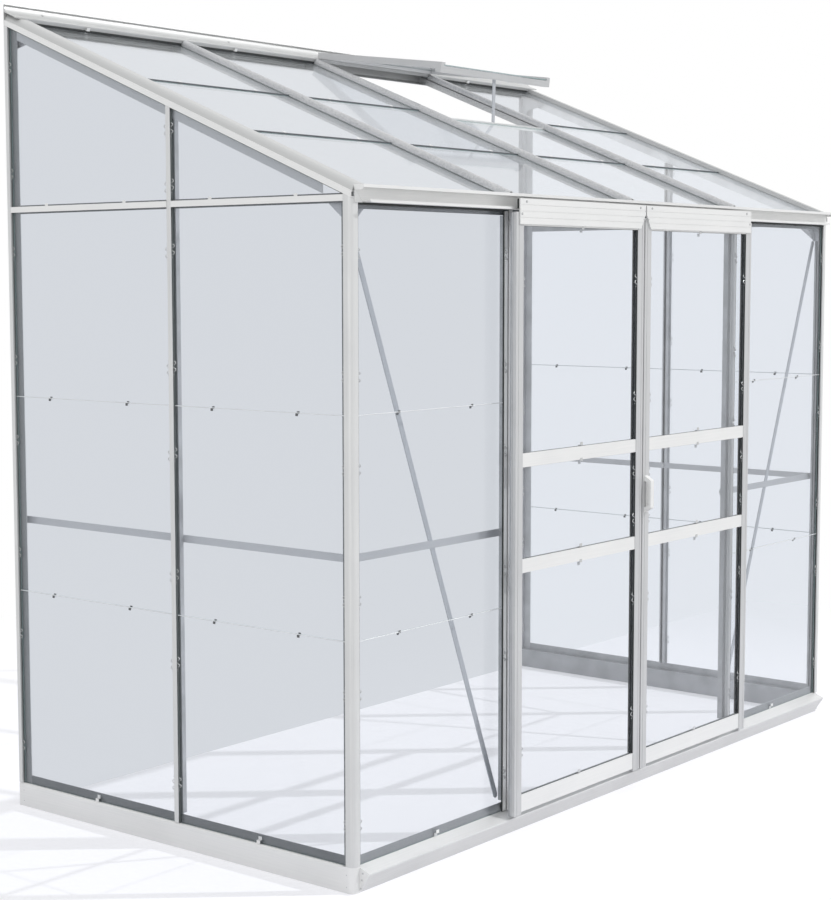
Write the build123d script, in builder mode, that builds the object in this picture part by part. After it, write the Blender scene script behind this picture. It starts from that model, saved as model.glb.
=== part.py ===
from build123d import *
import math
import os

os.makedirs("parts", exist_ok=True)

# A lean-to glass greenhouse of aluminium glazing bars, without a floor or a back,
# which stands against a house wall. X runs along the front to the right, Y runs
# from the front to the wall, Z is up. All lengths are in millimetres.

# Overall size
width = 2540.0
depth = 1285.0
base_height = 68.0
eave_height = 1741.0
ridge_height = 2258.0
flashing_rise = 41.0

# Bays
front_bays = 4
end_inset = 50.0
gable_bar_offset = 630.0

# Glass
glass_thickness = 3.0
glass_recess = 8.0
glass_seat_gap = 0.3
pane_edge_gap = 2.5
pane_seam_gap = 2.0
seam_height_lower = 636.0
seam_height_upper = 1197.0
roof_seam_lower = 441.0
roof_seam_upper = 860.0
roof_glass_top_setback = 12.0

# Aluminium glazing bar
wall = 1.8
bar_head_width = 16.0
bar_web = 3.0
bar_flange_width = 30.0
bar_channel_width = 18.0
bar_channel_depth = 17.7
bar_slot_width = 8.0
flange_thickness = 2.0
roof_glass_rise = 4.0
roof_cap_width = 24.0
roof_cap_rise = 18.0
roof_cap_shoulder = 7.0

# End rafters
rafter_face = 14.0
rafter_lip_step = 4.0
rafter_cap_rise = 18.0
rafter_crown_start = 26.0
rafter_cap_reach = 46.0
rafter_seat_reach = 30.0
rafter_flange_depth = 40.0
joint_gap = 0.3

# Corner posts and wall posts
post_size = 26.0
post_corner_radius = 15.0
post_flange_reach = 14.0
wall_post_face = 14.0
wall_post_flange_reach = 28.0
wall_foot_reach = 20.0

# Base
corner_block_size = 25.0
corner_block_radius = 20.0
base_ledge = 38.0
base_upstand = 24.0
base_foot = 12.0
base_bevel = 4.0
sill_reach = 30.0
sill_fold_height = 54.0
sill_fold_thickness = 4.0
sill_foot_setback = 3.0

# Rails, braces and corner plates on the inner side of the bars
eave_rail_height = 16.0
eave_rail_drop = 15.0
eave_rail_flange_height = 24.0
mid_rail_height = 20.0
mid_rail_thickness = 3.0
mid_rail_level = 840.0
brace_width = 16.0
brace_thickness = 3.0
brace_foot_level = 100.0
brace_head_drop = 81.0
brace_head_inset = 36.0
brace_foot_inset = 13.0
gusset_length = 100.0
gusset_drop = 62.0
gusset_thickness = 2.0
gusset_tip = 6.0
gusset_foot_width = 18.0
gusset_rail_drop = 4.0
wall_gusset_shoulder = 24.0
wall_gusset_foot = 12.0

# Eave gutter, which is the door track too
track_reach = 30.0
track_floor_drop = 26.0
track_top_rise = 11.0
track_lip = 5.0
gutter_lip = 6.0
gutter_end_setback = 12.0
gutter_end_slant = 30.0
beam_flange_drop = 15.0

# Sliding doors
door_lap = 36.0
door_meeting_gap = 6.0
door_face = 44.0
door_depth = 20.0
door_foot_level = 62.0
door_stile_width = 34.0
door_head_gap = 7.0
door_stile_groove = 1.5
door_stile_groove_depth = 1.0
door_wall = 2.0
door_rail_height = 38.0
door_rail_depth = 14.0
door_rail_recess = 2.0
door_upper_rail_level = 1041.0
door_lower_rail_level = 752.0
door_bottom_rail_height = 48.0
door_bottom_rail_level = 69.0
door_top_rail_height = 36.0
door_glass_bite = 6.0
door_glass_gap = 0.3
door_glass_setback = 8.0

# Hanger plates, which cover the track and carry the rollers
hanger_thickness = 4.0
hanger_drop = 39.0
hanger_height = 68.0
hanger_groove = 1.2
hanger_groove_width = 2.0
hanger_corner_run = 24.0
hanger_corner_rise = 41.0
roller_radius = 12.0
roller_width = 12.0
roller_inset = 90.0
roller_gap = 0.3
roller_setback = 6.0
axle_radius = 2.5

# Door handle
handle_level = 893.0
handle_length = 110.0
handle_width = 18.0
handle_reach = 22.0
handle_slope = 14.0
handle_foot_height = 16.0
handle_grip = 7.0

# Ridge plate
ridge_plate_thickness = 2.0
ridge_cover_reach = 46.0
ridge_cover_rise = 20.0
ridge_cove_run = 26.0
ridge_lip_width = 6.0
ridge_lip_rise = 2.0
ridge_drip_rise = 11.0
ridge_seat_reach = 40.0

# Roof vent, shown propped open
vent_opening_angle = 14.42
vent_length = 524.0
vent_rail_width = 22.0
vent_rail_height = 20.0
vent_front_drop = 12.0
vent_front_height = 20.0
vent_hinge_lap = 3.0
vent_side_gap = 3.0
vent_stay_width = 14.0
vent_stay_thickness = 3.0
vent_sill_setback = 592.1
vent_sill_width = 24.0
vent_sill_rise = 4.0

# Derived places
door_reach = door_face + handle_reach
front_y = door_reach - (depth + door_reach) / 2
wall_y = front_y + depth
left_x = -width / 2
bay_pitch = (width - 2 * end_inset) / front_bays
first_bar_x = left_x + end_inset + bay_pitch
glass_back = glass_recess + glass_thickness
flange_front = glass_back + glass_seat_gap
flange_back = flange_front + flange_thickness
bar_inner = flange_back + bar_channel_depth
roof_angle = math.atan2(ridge_height - eave_height, depth)
roof_run = depth / math.cos(roof_angle)
roof_glass_under = roof_glass_rise - glass_thickness
roof_seat = roof_glass_under - glass_seat_gap
roof_cap_base = roof_glass_rise + glass_seat_gap
door_half = bay_pitch + door_lap
door_face_y = front_y - door_face
eave_rail_level = eave_height - eave_rail_drop
brace_head_level = eave_height - brace_head_drop
track_floor_level = eave_height - track_floor_drop
track_top_level = eave_height + track_top_rise
door_stile_top = track_floor_level - door_head_gap
hanger_level = track_floor_level - hanger_drop
vent_sill_distance = roof_run - vent_sill_setback


def roof_point(distance, rise=0.0):
    """Y and Z of a point on the roof line, by slope distance and height square to it."""
    along_y = distance * math.cos(roof_angle) - rise * math.sin(roof_angle)
    along_z = distance * math.sin(roof_angle) + rise * math.cos(roof_angle)
    return front_y + along_y, eave_height + along_z


def roof_height(y, rise=0.0):
    """Z of the line that lies the given rise square above the roof line, at this Y."""
    return eave_height + (y - front_y) * math.tan(roof_angle) + rise / math.cos(roof_angle)


def roof_plane(x, distance):
    """Section plane across the roof slope: local Y is square to the roof, Z runs down it."""
    y, z = roof_point(distance)
    down = (0, -math.cos(roof_angle), -math.sin(roof_angle))
    return Plane(origin=(x, y, z), x_dir=(1, 0, 0), z_dir=down)


def front_plane(x, z):
    """Section plane across an upright bar of the front: local Y points out, Z runs down."""
    return Plane(origin=(x, front_y, z), x_dir=(1, 0, 0), z_dir=(0, 0, -1))


def left_plane(y, z):
    """Section plane across an upright bar of the left end: local Y points out, Z runs up."""
    return Plane(origin=(left_x, y, z), x_dir=(0, 1, 0), z_dir=(0, 0, 1))


def bar_head_section():
    """Outer head and web of a glazing bar, outer face at local Y 0."""
    half = bar_head_width / 2
    with BuildSketch() as section:
        with BuildLine():
            Polyline((-half, -wall), (-half, -wall / 2))
            ThreePointArc((-half, -wall / 2), (0, 0), (half, -wall / 2))
            Polyline((half, -wall / 2), (half, -wall), (-half, -wall))
        make_face()
        with Locations((0, -wall)):
            Rectangle(bar_web, flange_front - wall, align=(Align.CENTER, Align.MAX))
    return section.sketch


def glazing_bar_section():
    """Head, web, glazing flange and slotted bolt channel, outer face at local Y 0."""
    with BuildSketch() as section:
        add(bar_head_section())
        with Locations((0, -flange_front)):
            Rectangle(bar_flange_width, flange_back - flange_front, align=(Align.CENTER, Align.MAX))
        with Locations((0, -flange_back)):
            Rectangle(bar_channel_width, bar_channel_depth, align=(Align.CENTER, Align.MAX))
            Rectangle(
                bar_channel_width - 2 * wall,
                bar_channel_depth - wall,
                align=(Align.CENTER, Align.MAX),
                mode=Mode.SUBTRACT,
            )
            Rectangle(bar_slot_width, bar_channel_depth, align=(Align.CENTER, Align.MAX), mode=Mode.SUBTRACT)
    return section.sketch


def roof_bar_section():
    """Web, glass seat and bolt channel of a roof bar, square to the roof line."""
    with BuildSketch() as section:
        with Locations((0, roof_cap_base)):
            Rectangle(bar_web, roof_cap_base - roof_seat, align=(Align.CENTER, Align.MAX))
        with Locations((0, roof_seat)):
            Rectangle(bar_flange_width, flange_thickness, align=(Align.CENTER, Align.MAX))
        with Locations((0, roof_seat - flange_thickness)):
            Rectangle(bar_channel_width, bar_channel_depth, align=(Align.CENTER, Align.MAX))
            Rectangle(
                bar_channel_width - 2 * wall,
                bar_channel_depth - wall,
                align=(Align.CENTER, Align.MAX),
                mode=Mode.SUBTRACT,
            )
            Rectangle(bar_slot_width, bar_channel_depth, align=(Align.CENTER, Align.MAX), mode=Mode.SUBTRACT)
    return section.sketch


def roof_cap_section():
    """Hollow round cap that holds the roof glass down."""
    half = roof_cap_width / 2
    shoulder = roof_cap_base + roof_cap_shoulder
    with BuildSketch() as section:
        with BuildLine():
            Polyline((-half, shoulder), (-half, roof_cap_base), (half, roof_cap_base), (half, shoulder))
            ThreePointArc((half, shoulder), (0, roof_cap_base + roof_cap_rise), (-half, shoulder))
        make_face()
        offset(amount=-wall, mode=Mode.SUBTRACT)
    return section.sketch


def before(y):
    """Upright plane across the building whose kept side is towards the front."""
    return Plane(origin=(0, y, 0), x_dir=(1, 0, 0), z_dir=(0, -1, 0))


def behind(y):
    """Upright plane across the building whose kept side is towards the wall."""
    return Plane(origin=(0, y, 0), x_dir=(-1, 0, 0), z_dir=(0, 1, 0))


def under_roof(rise):
    """Plane along the roof slope whose kept side is below it."""
    y, z = roof_point(0, rise)
    return Plane(origin=(0, y, z), x_dir=(1, 0, 0), z_dir=(0, math.sin(roof_angle), -math.cos(roof_angle)))


# Base
# The end base is a hollow sill with a vertical outer face, a ledge for the glass
# and an upstand behind it.
end_base_start = front_y + base_ledge
upstand_start = front_y + post_size + post_flange_reach + joint_gap
upstand_end = wall_y - wall_post_face - wall_post_flange_reach - joint_gap
with BuildPart() as base_left:
    with BuildSketch(Plane.XZ.offset(-end_base_start)):
        with BuildLine():
            Polyline(
                (left_x, 0),
                (left_x, base_height - base_bevel),
                (left_x + base_bevel, base_height),
                (left_x + base_ledge, base_height),
                (left_x + base_ledge, 0),
                (left_x + base_ledge - base_foot, 0),
                (left_x + base_ledge - base_foot, wall),
                (left_x + base_ledge - wall, wall),
                (left_x + base_ledge - wall, base_height - wall),
                (left_x + base_bevel, base_height - wall),
                (left_x + wall, base_height - base_bevel),
                (left_x + wall, wall),
                (left_x + base_foot, wall),
                (left_x + base_foot, 0),
                (left_x, 0),
            )
        make_face()
    extrude(amount=-(wall_y - end_base_start))
    with BuildSketch(Plane.XZ.offset(-upstand_start)):
        with Locations((left_x + flange_front, base_height - wall / 2)):
            Rectangle(flange_thickness, base_upstand + wall / 2, align=(Align.MIN, Align.MIN))
    extrude(amount=-(upstand_end - upstand_start))
base_left.part.label = "base_left"
export_step(base_left.part, "parts/base_left.step")

with BuildPart() as base_right:
    mirror(base_left.part, about=Plane.YZ)
base_right.part.label = "base_right"
export_step(base_right.part, "parts/base_right.step")

# The front base has a sloping sill that the doors hang over.
sill_half_length = width / 2 - corner_block_size
front_upstand_half = width / 2 - post_size - post_flange_reach - joint_gap
with BuildPart() as base_front:
    with BuildSketch(Plane.YZ.offset(-sill_half_length)):
        with BuildLine():
            Polyline(
                (front_y + sill_foot_setback, 0),
                (front_y - sill_reach, sill_fold_height - sill_fold_thickness),
                (front_y - sill_reach, sill_fold_height),
                (front_y + glass_recess, base_height),
                (front_y + base_ledge, base_height),
                (front_y + base_ledge, 0),
                (front_y + base_ledge - base_foot, 0),
                (front_y + base_ledge - base_foot, wall),
                (front_y + base_ledge - wall, wall),
                (front_y + base_ledge - wall, base_height - wall),
                (front_y + glass_recess, base_height - wall),
                (front_y - sill_reach + 2 * wall, sill_fold_height - wall),
                (front_y + sill_foot_setback + wall, 2 * wall),
                (front_y + base_foot, 2 * wall),
                (front_y + base_foot, 0),
                (front_y + sill_foot_setback, 0),
            )
        make_face()
    extrude(amount=2 * sill_half_length)
    with BuildSketch(Plane.YZ.offset(-front_upstand_half)):
        with Locations((front_y + flange_front, base_height - wall / 2)):
            Rectangle(flange_thickness, base_upstand + wall / 2, align=(Align.MIN, Align.MIN))
    extrude(amount=2 * front_upstand_half)
base_front.part.label = "base_front"
export_step(base_front.part, "parts/base_front.step")

with BuildPart() as base_corners:
    with BuildSketch():
        with Locations((left_x, front_y)):
            Rectangle(corner_block_size, base_ledge, align=(Align.MIN, Align.MIN))
    extrude(amount=base_height)
    outer_edges = base_corners.edges().filter_by(Axis.Z).group_by(Axis.X)[0]
    fillet(outer_edges.sort_by(Axis.Y)[0], corner_block_radius)
    mirror(about=Plane.YZ)
base_corners.part.label = "base_corners"
export_step(base_corners.part, "parts/base_corners.step")

# Upright bars and posts
with BuildPart() as corner_post_left:
    with BuildSketch(Plane.XY.offset(base_height)) as corner_post_section:
        with Locations((left_x, front_y)):
            Rectangle(post_size, post_size, align=(Align.MIN, Align.MIN))
        fillet(corner_post_section.vertices().sort_by(lambda v: v.X + v.Y)[0], post_corner_radius)
        offset(amount=-wall, mode=Mode.SUBTRACT)
        with Locations((left_x + post_size, front_y + flange_front)):
            Rectangle(post_flange_reach, flange_thickness, align=(Align.MIN, Align.MIN))
        with Locations((left_x + flange_front, front_y + post_size)):
            Rectangle(flange_thickness, post_flange_reach, align=(Align.MIN, Align.MIN))
        with Locations((left_x + post_size - wall, front_y + post_size - wall)):
            Rectangle(
                bar_inner - post_size + wall,
                bar_inner - post_size + wall,
                align=(Align.MIN, Align.MIN),
            )
    extrude(amount=eave_height - base_height)
    split(bisect_by=under_roof(-rafter_face - joint_gap), keep=Keep.TOP)
corner_post_left.part.label = "corner_post_left"
export_step(corner_post_left.part, "parts/corner_post_left.step")

with BuildPart() as corner_post_right:
    mirror(corner_post_left.part, about=Plane.YZ)
corner_post_right.part.label = "corner_post_right"
export_step(corner_post_right.part, "parts/corner_post_right.step")

with BuildPart() as wall_post_left:
    with BuildSketch(Plane.XY.offset(base_height)):
        with Locations((left_x, wall_y)):
            Rectangle(post_size, wall_post_face, align=(Align.MIN, Align.MAX))
        with Locations((left_x + wall, wall_y - wall)):
            Rectangle(
                post_size - 2 * wall,
                wall_post_face - 2 * wall,
                align=(Align.MIN, Align.MAX),
                mode=Mode.SUBTRACT,
            )
        with Locations((left_x + flange_front, wall_y - wall_post_face)):
            Rectangle(flange_thickness, wall_post_flange_reach, align=(Align.MIN, Align.MAX))
        with Locations((left_x + post_size, wall_y)):
            Rectangle(wall_foot_reach, flange_thickness, align=(Align.MIN, Align.MAX))
    extrude(amount=ridge_height - base_height)
    split(bisect_by=under_roof(-rafter_face - joint_gap), keep=Keep.TOP)
wall_post_left.part.label = "wall_post_left"
export_step(wall_post_left.part, "parts/wall_post_left.step")

with BuildPart() as wall_post_right:
    mirror(wall_post_left.part, about=Plane.YZ)
wall_post_right.part.label = "wall_post_right"
export_step(wall_post_right.part, "parts/wall_post_right.step")

# The flange and channel of a bar stand between the upstand of the base and the
# flange above, and its head and web run on over both.
gable_bar_y = wall_y - (depth - gable_bar_offset)
bar_foot = base_height + base_upstand + joint_gap
head_foot = base_height + joint_gap
with BuildPart() as gable_bar_left:
    with BuildSketch(left_plane(gable_bar_y, bar_foot)):
        add(glazing_bar_section())
    extrude(amount=ridge_height - bar_foot)
    split(bisect_by=under_roof(-rafter_flange_depth - joint_gap), keep=Keep.TOP)
    with BuildSketch(left_plane(gable_bar_y, head_foot)):
        add(bar_head_section())
    extrude(amount=ridge_height - head_foot)
    split(bisect_by=under_roof(-rafter_face - joint_gap), keep=Keep.TOP)
gable_bar_left.part.label = "gable_bar_left"
export_step(gable_bar_left.part, "parts/gable_bar_left.step")

with BuildPart() as gable_bar_right:
    mirror(gable_bar_left.part, about=Plane.YZ)
gable_bar_right.part.label = "gable_bar_right"
export_step(gable_bar_right.part, "parts/gable_bar_right.step")

# Each door post is the same bar, under the rear flange of the eave beam.
beam_flange_level = track_floor_level - beam_flange_drop
bar_channel_rise = roof_seat - flange_thickness - bar_channel_depth
beam_ledge_level = roof_height(front_y + joint_gap, bar_channel_rise) - joint_gap
beam_ledge_under = beam_ledge_level - flange_thickness
with BuildPart() as door_post_left:
    with BuildSketch(front_plane(first_bar_x, beam_flange_level - joint_gap)):
        add(glazing_bar_section())
    extrude(amount=beam_flange_level - joint_gap - bar_foot)
    with BuildSketch(front_plane(first_bar_x, beam_ledge_under - joint_gap)):
        add(bar_head_section())
    extrude(amount=beam_ledge_under - joint_gap - head_foot)
door_post_left.part.label = "door_post_left"
export_step(door_post_left.part, "parts/door_post_left.step")

with BuildPart() as door_post_right:
    mirror(door_post_left.part, about=Plane.YZ)
door_post_right.part.label = "door_post_right"
export_step(door_post_right.part, "parts/door_post_right.step")

# End rafters
# The outer lip is upright, the crown rises from it in an arc, and a flat cap with a
# turned-down edge reaches over the roof glass.
crown_run = rafter_crown_start - rafter_lip_step
crown_radius = (crown_run**2 + rafter_cap_rise**2) / (2 * rafter_cap_rise)


def crown_rise(x, inset=0.0):
    """Height of the rafter's crown, or of its inner side, at this distance from the outer face."""
    radius = crown_radius - inset
    return rafter_cap_rise - crown_radius + math.sqrt(radius**2 - (x - rafter_crown_start) ** 2)


crown_inner_radius = crown_radius - wall
crown_inner_start = rafter_crown_start - math.sqrt(
    crown_inner_radius**2 - (crown_radius - rafter_cap_rise - wall) ** 2
)
crown_middle = (rafter_lip_step + rafter_crown_start) / 2
with BuildPart() as gable_rafter_profile:
    with BuildSketch(roof_plane(left_x, roof_run + rafter_flange_depth)):
        with BuildLine():
            Polyline((0, -rafter_face), (0, 0), (rafter_lip_step, 0))
            ThreePointArc(
                (rafter_lip_step, 0),
                (crown_middle, crown_rise(crown_middle)),
                (rafter_crown_start, rafter_cap_rise),
            )
            Polyline(
                (rafter_crown_start, rafter_cap_rise),
                (rafter_cap_reach, rafter_cap_rise),
                (rafter_cap_reach, roof_cap_base),
                (rafter_cap_reach - wall, roof_cap_base),
                (rafter_cap_reach - wall, rafter_cap_rise - wall),
                (rafter_crown_start, rafter_cap_rise - wall),
            )
            ThreePointArc(
                (rafter_crown_start, rafter_cap_rise - wall),
                (
                    (flange_back + rafter_crown_start) / 2,
                    crown_rise((flange_back + rafter_crown_start) / 2, wall),
                ),
                (flange_back, crown_rise(flange_back, wall)),
            )
            Polyline(
                (flange_back, crown_rise(flange_back, wall)),
                (flange_back, roof_seat),
                (rafter_seat_reach, roof_seat),
                (rafter_seat_reach, roof_seat - flange_thickness),
                (flange_back, roof_seat - flange_thickness),
                (flange_back, -rafter_face),
                (0, -rafter_face),
            )
        make_face()
        with BuildLine():
            Polyline(
                (flange_front, crown_rise(flange_front, wall)),
                (flange_front, wall - rafter_face),
                (wall, wall - rafter_face),
                (wall, -wall),
                (crown_inner_start, -wall),
            )
            ThreePointArc(
                (crown_inner_start, -wall),
                (
                    (crown_inner_start + flange_front) / 2,
                    crown_rise((crown_inner_start + flange_front) / 2, wall),
                ),
                (flange_front, crown_rise(flange_front, wall)),
            )
        make_face(mode=Mode.SUBTRACT)
    extrude(amount=roof_run + 2 * rafter_flange_depth)
    split(bisect_by=behind(front_y), keep=Keep.TOP)
    split(bisect_by=before(wall_y - ridge_plate_thickness - joint_gap), keep=Keep.TOP)
rafter_flange_rise = eave_rail_flange_height / 2 + joint_gap - eave_rail_drop
rafter_flange_run = (rafter_flange_rise + rafter_flange_depth / math.cos(roof_angle)) / math.tan(roof_angle)
rafter_flange_start = front_y + rafter_flange_run
rafter_flange_end = wall_y - wall_post_face - wall_post_flange_reach - joint_gap
with BuildPart() as gable_rafter_flange:
    with BuildSketch(roof_plane(left_x, roof_run + rafter_flange_depth)):
        with Locations((flange_front, -rafter_face)):
            Rectangle(flange_thickness, rafter_flange_depth - rafter_face, align=(Align.MIN, Align.MAX))
    extrude(amount=roof_run + 2 * rafter_flange_depth)
    split(bisect_by=behind(rafter_flange_start), keep=Keep.TOP)
    split(bisect_by=before(rafter_flange_end), keep=Keep.TOP)
with BuildPart() as gable_rafter_left:
    add(gable_rafter_profile.part)
    add(gable_rafter_flange.part)
gable_rafter_left.part.label = "gable_rafter_left"
export_step(gable_rafter_left.part, "parts/gable_rafter_left.step")

with BuildPart() as gable_rafter_right:
    mirror(gable_rafter_left.part, about=Plane.YZ)
gable_rafter_right.part.label = "gable_rafter_right"
export_step(gable_rafter_right.part, "parts/gable_rafter_right.step")

# Eave rails of the ends, one length on each side of the middle bar
bar_head_half = bar_head_width / 2
bar_flange_side = bar_flange_width / 2 - bar_head_half
rail_spans = [
    (front_y + post_size, post_flange_reach, gable_bar_y - bar_head_half, bar_flange_side),
    (gable_bar_y + bar_head_half, bar_flange_side, wall_y - wall_post_face, wall_post_flange_reach),
]
with BuildPart() as gable_eave_rail_left:
    for start, start_flange, end, end_flange in rail_spans:
        with BuildSketch(Plane.XZ.offset(-start - joint_gap)):
            with Locations((left_x, eave_rail_level)):
                Rectangle(wall, eave_rail_height, align=(Align.MIN, Align.CENTER))
                Rectangle(flange_front, bar_web, align=(Align.MIN, Align.CENTER))
        extrude(amount=-(end - start - 2 * joint_gap))
        with BuildSketch(Plane.XZ.offset(-start - start_flange - joint_gap)):
            with Locations((left_x + flange_front, eave_rail_level)):
                Rectangle(flange_thickness, eave_rail_flange_height, align=(Align.MIN, Align.CENTER))
        extrude(amount=-(end - start - start_flange - end_flange - 2 * joint_gap))
gable_eave_rail_left.part.label = "gable_eave_rail_left"
export_step(gable_eave_rail_left.part, "parts/gable_eave_rail_left.step")

with BuildPart() as gable_eave_rail_right:
    mirror(gable_eave_rail_left.part, about=Plane.YZ)
gable_eave_rail_right.part.label = "gable_eave_rail_right"
export_step(gable_eave_rail_right.part, "parts/gable_eave_rail_right.step")

# Flat mid rails on the inner side: one along the end, one across the fixed front bay
mid_rail_start = front_y + bar_inner + mid_rail_thickness + joint_gap
with BuildPart() as mid_rails_left:
    with BuildSketch(Plane.XY.offset(mid_rail_level - mid_rail_height / 2)):
        with Locations((left_x + bar_inner, mid_rail_start)):
            Rectangle(
                mid_rail_thickness,
                wall_y - flange_thickness - joint_gap - mid_rail_start,
                align=(Align.MIN, Align.MIN),
            )
        with Locations((left_x + post_size - wall, front_y + bar_inner)):
            Rectangle(
                first_bar_x + bar_channel_width / 2 - left_x - post_size + wall,
                mid_rail_thickness,
                align=(Align.MIN, Align.MIN),
            )
    extrude(amount=mid_rail_height)
mid_rails_left.part.label = "mid_rails_left"
export_step(mid_rails_left.part, "parts/mid_rails_left.step")

with BuildPart() as mid_rails_right:
    mirror(mid_rails_left.part, about=Plane.YZ)
mid_rails_right.part.label = "mid_rails_right"
export_step(mid_rails_right.part, "parts/mid_rails_right.step")

# Diagonal braces of the fixed front bays
brace_y = front_y + bar_inner + mid_rail_thickness
brace_head_x = left_x + brace_head_inset
brace_foot_x = first_bar_x - brace_foot_inset
brace_rise = brace_head_level - brace_foot_level
brace_lean = math.degrees(math.atan2(brace_foot_x - brace_head_x, brace_rise))
brace_length = math.hypot(brace_foot_x - brace_head_x, brace_rise)
with BuildPart() as brace_left:
    with BuildSketch(Plane.XZ.offset(-brace_y)):
        with Locations(((brace_head_x + brace_foot_x) / 2, (brace_head_level + brace_foot_level) / 2)):
            SlotOverall(brace_length, brace_width, rotation=90 + brace_lean)
    extrude(amount=-brace_thickness)
brace_left.part.label = "brace_left"
export_step(brace_left.part, "parts/brace_left.step")

with BuildPart() as brace_right:
    mirror(brace_left.part, about=Plane.YZ)
brace_right.part.label = "brace_right"
export_step(brace_right.part, "parts/brace_right.step")

# Corner plates: two at each front eave corner and one under each rafter at the wall
gusset_top = eave_rail_level - gusset_rail_drop
wall_gusset_y = wall_y - ridge_plate_thickness - joint_gap
gusset_y = front_y + flange_back + joint_gap
gusset_x = left_x + bar_inner + joint_gap
wall_gusset_top = roof_height(wall_gusset_y, -rafter_face - gusset_thickness)
wall_gusset_slope = gusset_length * math.tan(roof_angle)
with BuildPart() as gusset_plates:
    with BuildSketch(Plane.YZ.offset(left_x + bar_inner)):
        with BuildLine():
            Polyline(
                (gusset_y, gusset_top),
                (front_y + gusset_length, gusset_top),
                (front_y + gusset_length, gusset_top - gusset_tip),
                (gusset_y + gusset_foot_width, gusset_top - gusset_drop),
                (gusset_y, gusset_top - gusset_drop),
                (gusset_y, gusset_top),
            )
        make_face()
    extrude(amount=gusset_thickness)
    with BuildSketch(Plane.YZ.offset(left_x + post_size)):
        with BuildLine():
            Polyline(
                (wall_gusset_y, wall_gusset_top),
                (wall_gusset_y - gusset_length, wall_gusset_top - wall_gusset_slope),
                (wall_gusset_y - gusset_length, wall_gusset_top - wall_gusset_slope - gusset_tip),
                (wall_gusset_y - wall_gusset_shoulder, wall_gusset_top - gusset_drop),
                (wall_gusset_y - wall_gusset_foot, wall_gusset_top - gusset_length),
                (wall_gusset_y, wall_gusset_top - gusset_length),
                (wall_gusset_y, wall_gusset_top),
            )
        make_face()
    extrude(amount=gusset_thickness)
    with BuildSketch(Plane.XZ.offset(-front_y - bar_inner)):
        with BuildLine():
            Polyline(
                (gusset_x + gusset_thickness, gusset_top),
                (left_x + gusset_length, gusset_top),
                (left_x + gusset_length, gusset_top - gusset_tip),
                (gusset_x + gusset_thickness + gusset_tip, gusset_top - gusset_drop),
                (gusset_x + gusset_thickness, gusset_top - gusset_drop),
                (gusset_x + gusset_thickness, gusset_top),
            )
        make_face()
    extrude(amount=-gusset_thickness)
    mirror(about=Plane.YZ)
gusset_plates.part.label = "gusset_plates"
export_step(gusset_plates.part, "parts/gusset_plates.step")

# Eave beam: gutter above, open door track in front, glass flange behind
gutter_half = width / 2 - gutter_end_setback
rear_half = width / 2 - post_size - post_flange_reach - joint_gap
track_front_y = front_y - track_reach
track_lip_top = track_floor_level + wall + track_lip
beam_web_front = front_y - flange_thickness
with BuildPart() as eave_gutter:
    with BuildSketch(Plane.YZ.offset(-gutter_half)):
        with BuildLine():
            Polyline(
                (front_y, track_floor_level),
                (track_front_y, track_floor_level),
                (track_front_y, track_lip_top),
                (track_front_y + wall, track_lip_top),
                (track_front_y + wall, track_floor_level + wall),
                (beam_web_front, track_floor_level + wall),
                (beam_web_front, track_top_level - wall),
                (track_front_y, track_top_level - wall),
                (track_front_y, track_top_level + gutter_lip),
                (track_front_y + wall, track_top_level + gutter_lip),
                (track_front_y + wall, track_top_level),
                (front_y, track_top_level),
                (front_y, track_floor_level),
            )
        make_face()
    extrude(amount=2 * gutter_half)
    with BuildSketch(Plane.XZ.offset(-front_y)):
        with BuildLine():
            Polyline(
                (-gutter_half - wall, track_top_level),
                (-gutter_half, track_top_level),
                (gutter_end_slant - gutter_half, track_floor_level),
                (gutter_end_slant - gutter_half, track_floor_level - wall),
                (-gutter_half - wall, track_floor_level - wall),
                (-gutter_half - wall, track_top_level),
            )
        make_face()
        mirror(about=Plane.YZ)
    extrude(amount=track_reach + wall, mode=Mode.SUBTRACT)
    with BuildSketch(Plane.YZ.offset(-rear_half)):
        with BuildLine():
            Polyline(
                (front_y - flange_thickness / 2, beam_ledge_under),
                (front_y + flange_front, beam_ledge_under),
                (front_y + flange_front, beam_flange_level),
                (front_y + flange_back, beam_flange_level),
                (front_y + flange_back, beam_ledge_level),
                (front_y - flange_thickness / 2, beam_ledge_level),
                (front_y - flange_thickness / 2, beam_ledge_under),
            )
        make_face()
    extrude(amount=2 * rear_half)
eave_gutter.part.label = "eave_gutter"
export_step(eave_gutter.part, "parts/eave_gutter.step")

# Ridge plate: a leg on the wall with a rolled top, a cove that runs out into a cover
# over the end rafters, a drip edge between them and a shelf under the roof bars
flashing_top = ridge_height + flashing_rise
leg_face_y = wall_y - ridge_plate_thickness
leg_foot = roof_height(wall_y, -rafter_face) + joint_gap
cover_top = ridge_cover_rise + ridge_plate_thickness
cover_edge = roof_run - ridge_cover_reach
cove_top_z = flashing_top - ridge_plate_thickness
cove_foot_y, cove_foot_z = roof_point(roof_run - ridge_cove_run, cover_top)
cove_corner_z = roof_height(leg_face_y, cover_top)
cove_middle = (
    (3 * leg_face_y + cove_foot_y) / 4,
    (cove_top_z + cove_foot_z + 2 * cove_corner_z) / 4,
)
drip_half = width / 2 - rafter_cap_reach - joint_gap
drip_edge = cover_edge + ridge_plate_thickness
shelf_half = width / 2 - post_size - wall_foot_reach - joint_gap
shelf_top = bar_channel_rise - joint_gap
shelf_under = shelf_top - ridge_plate_thickness
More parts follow.
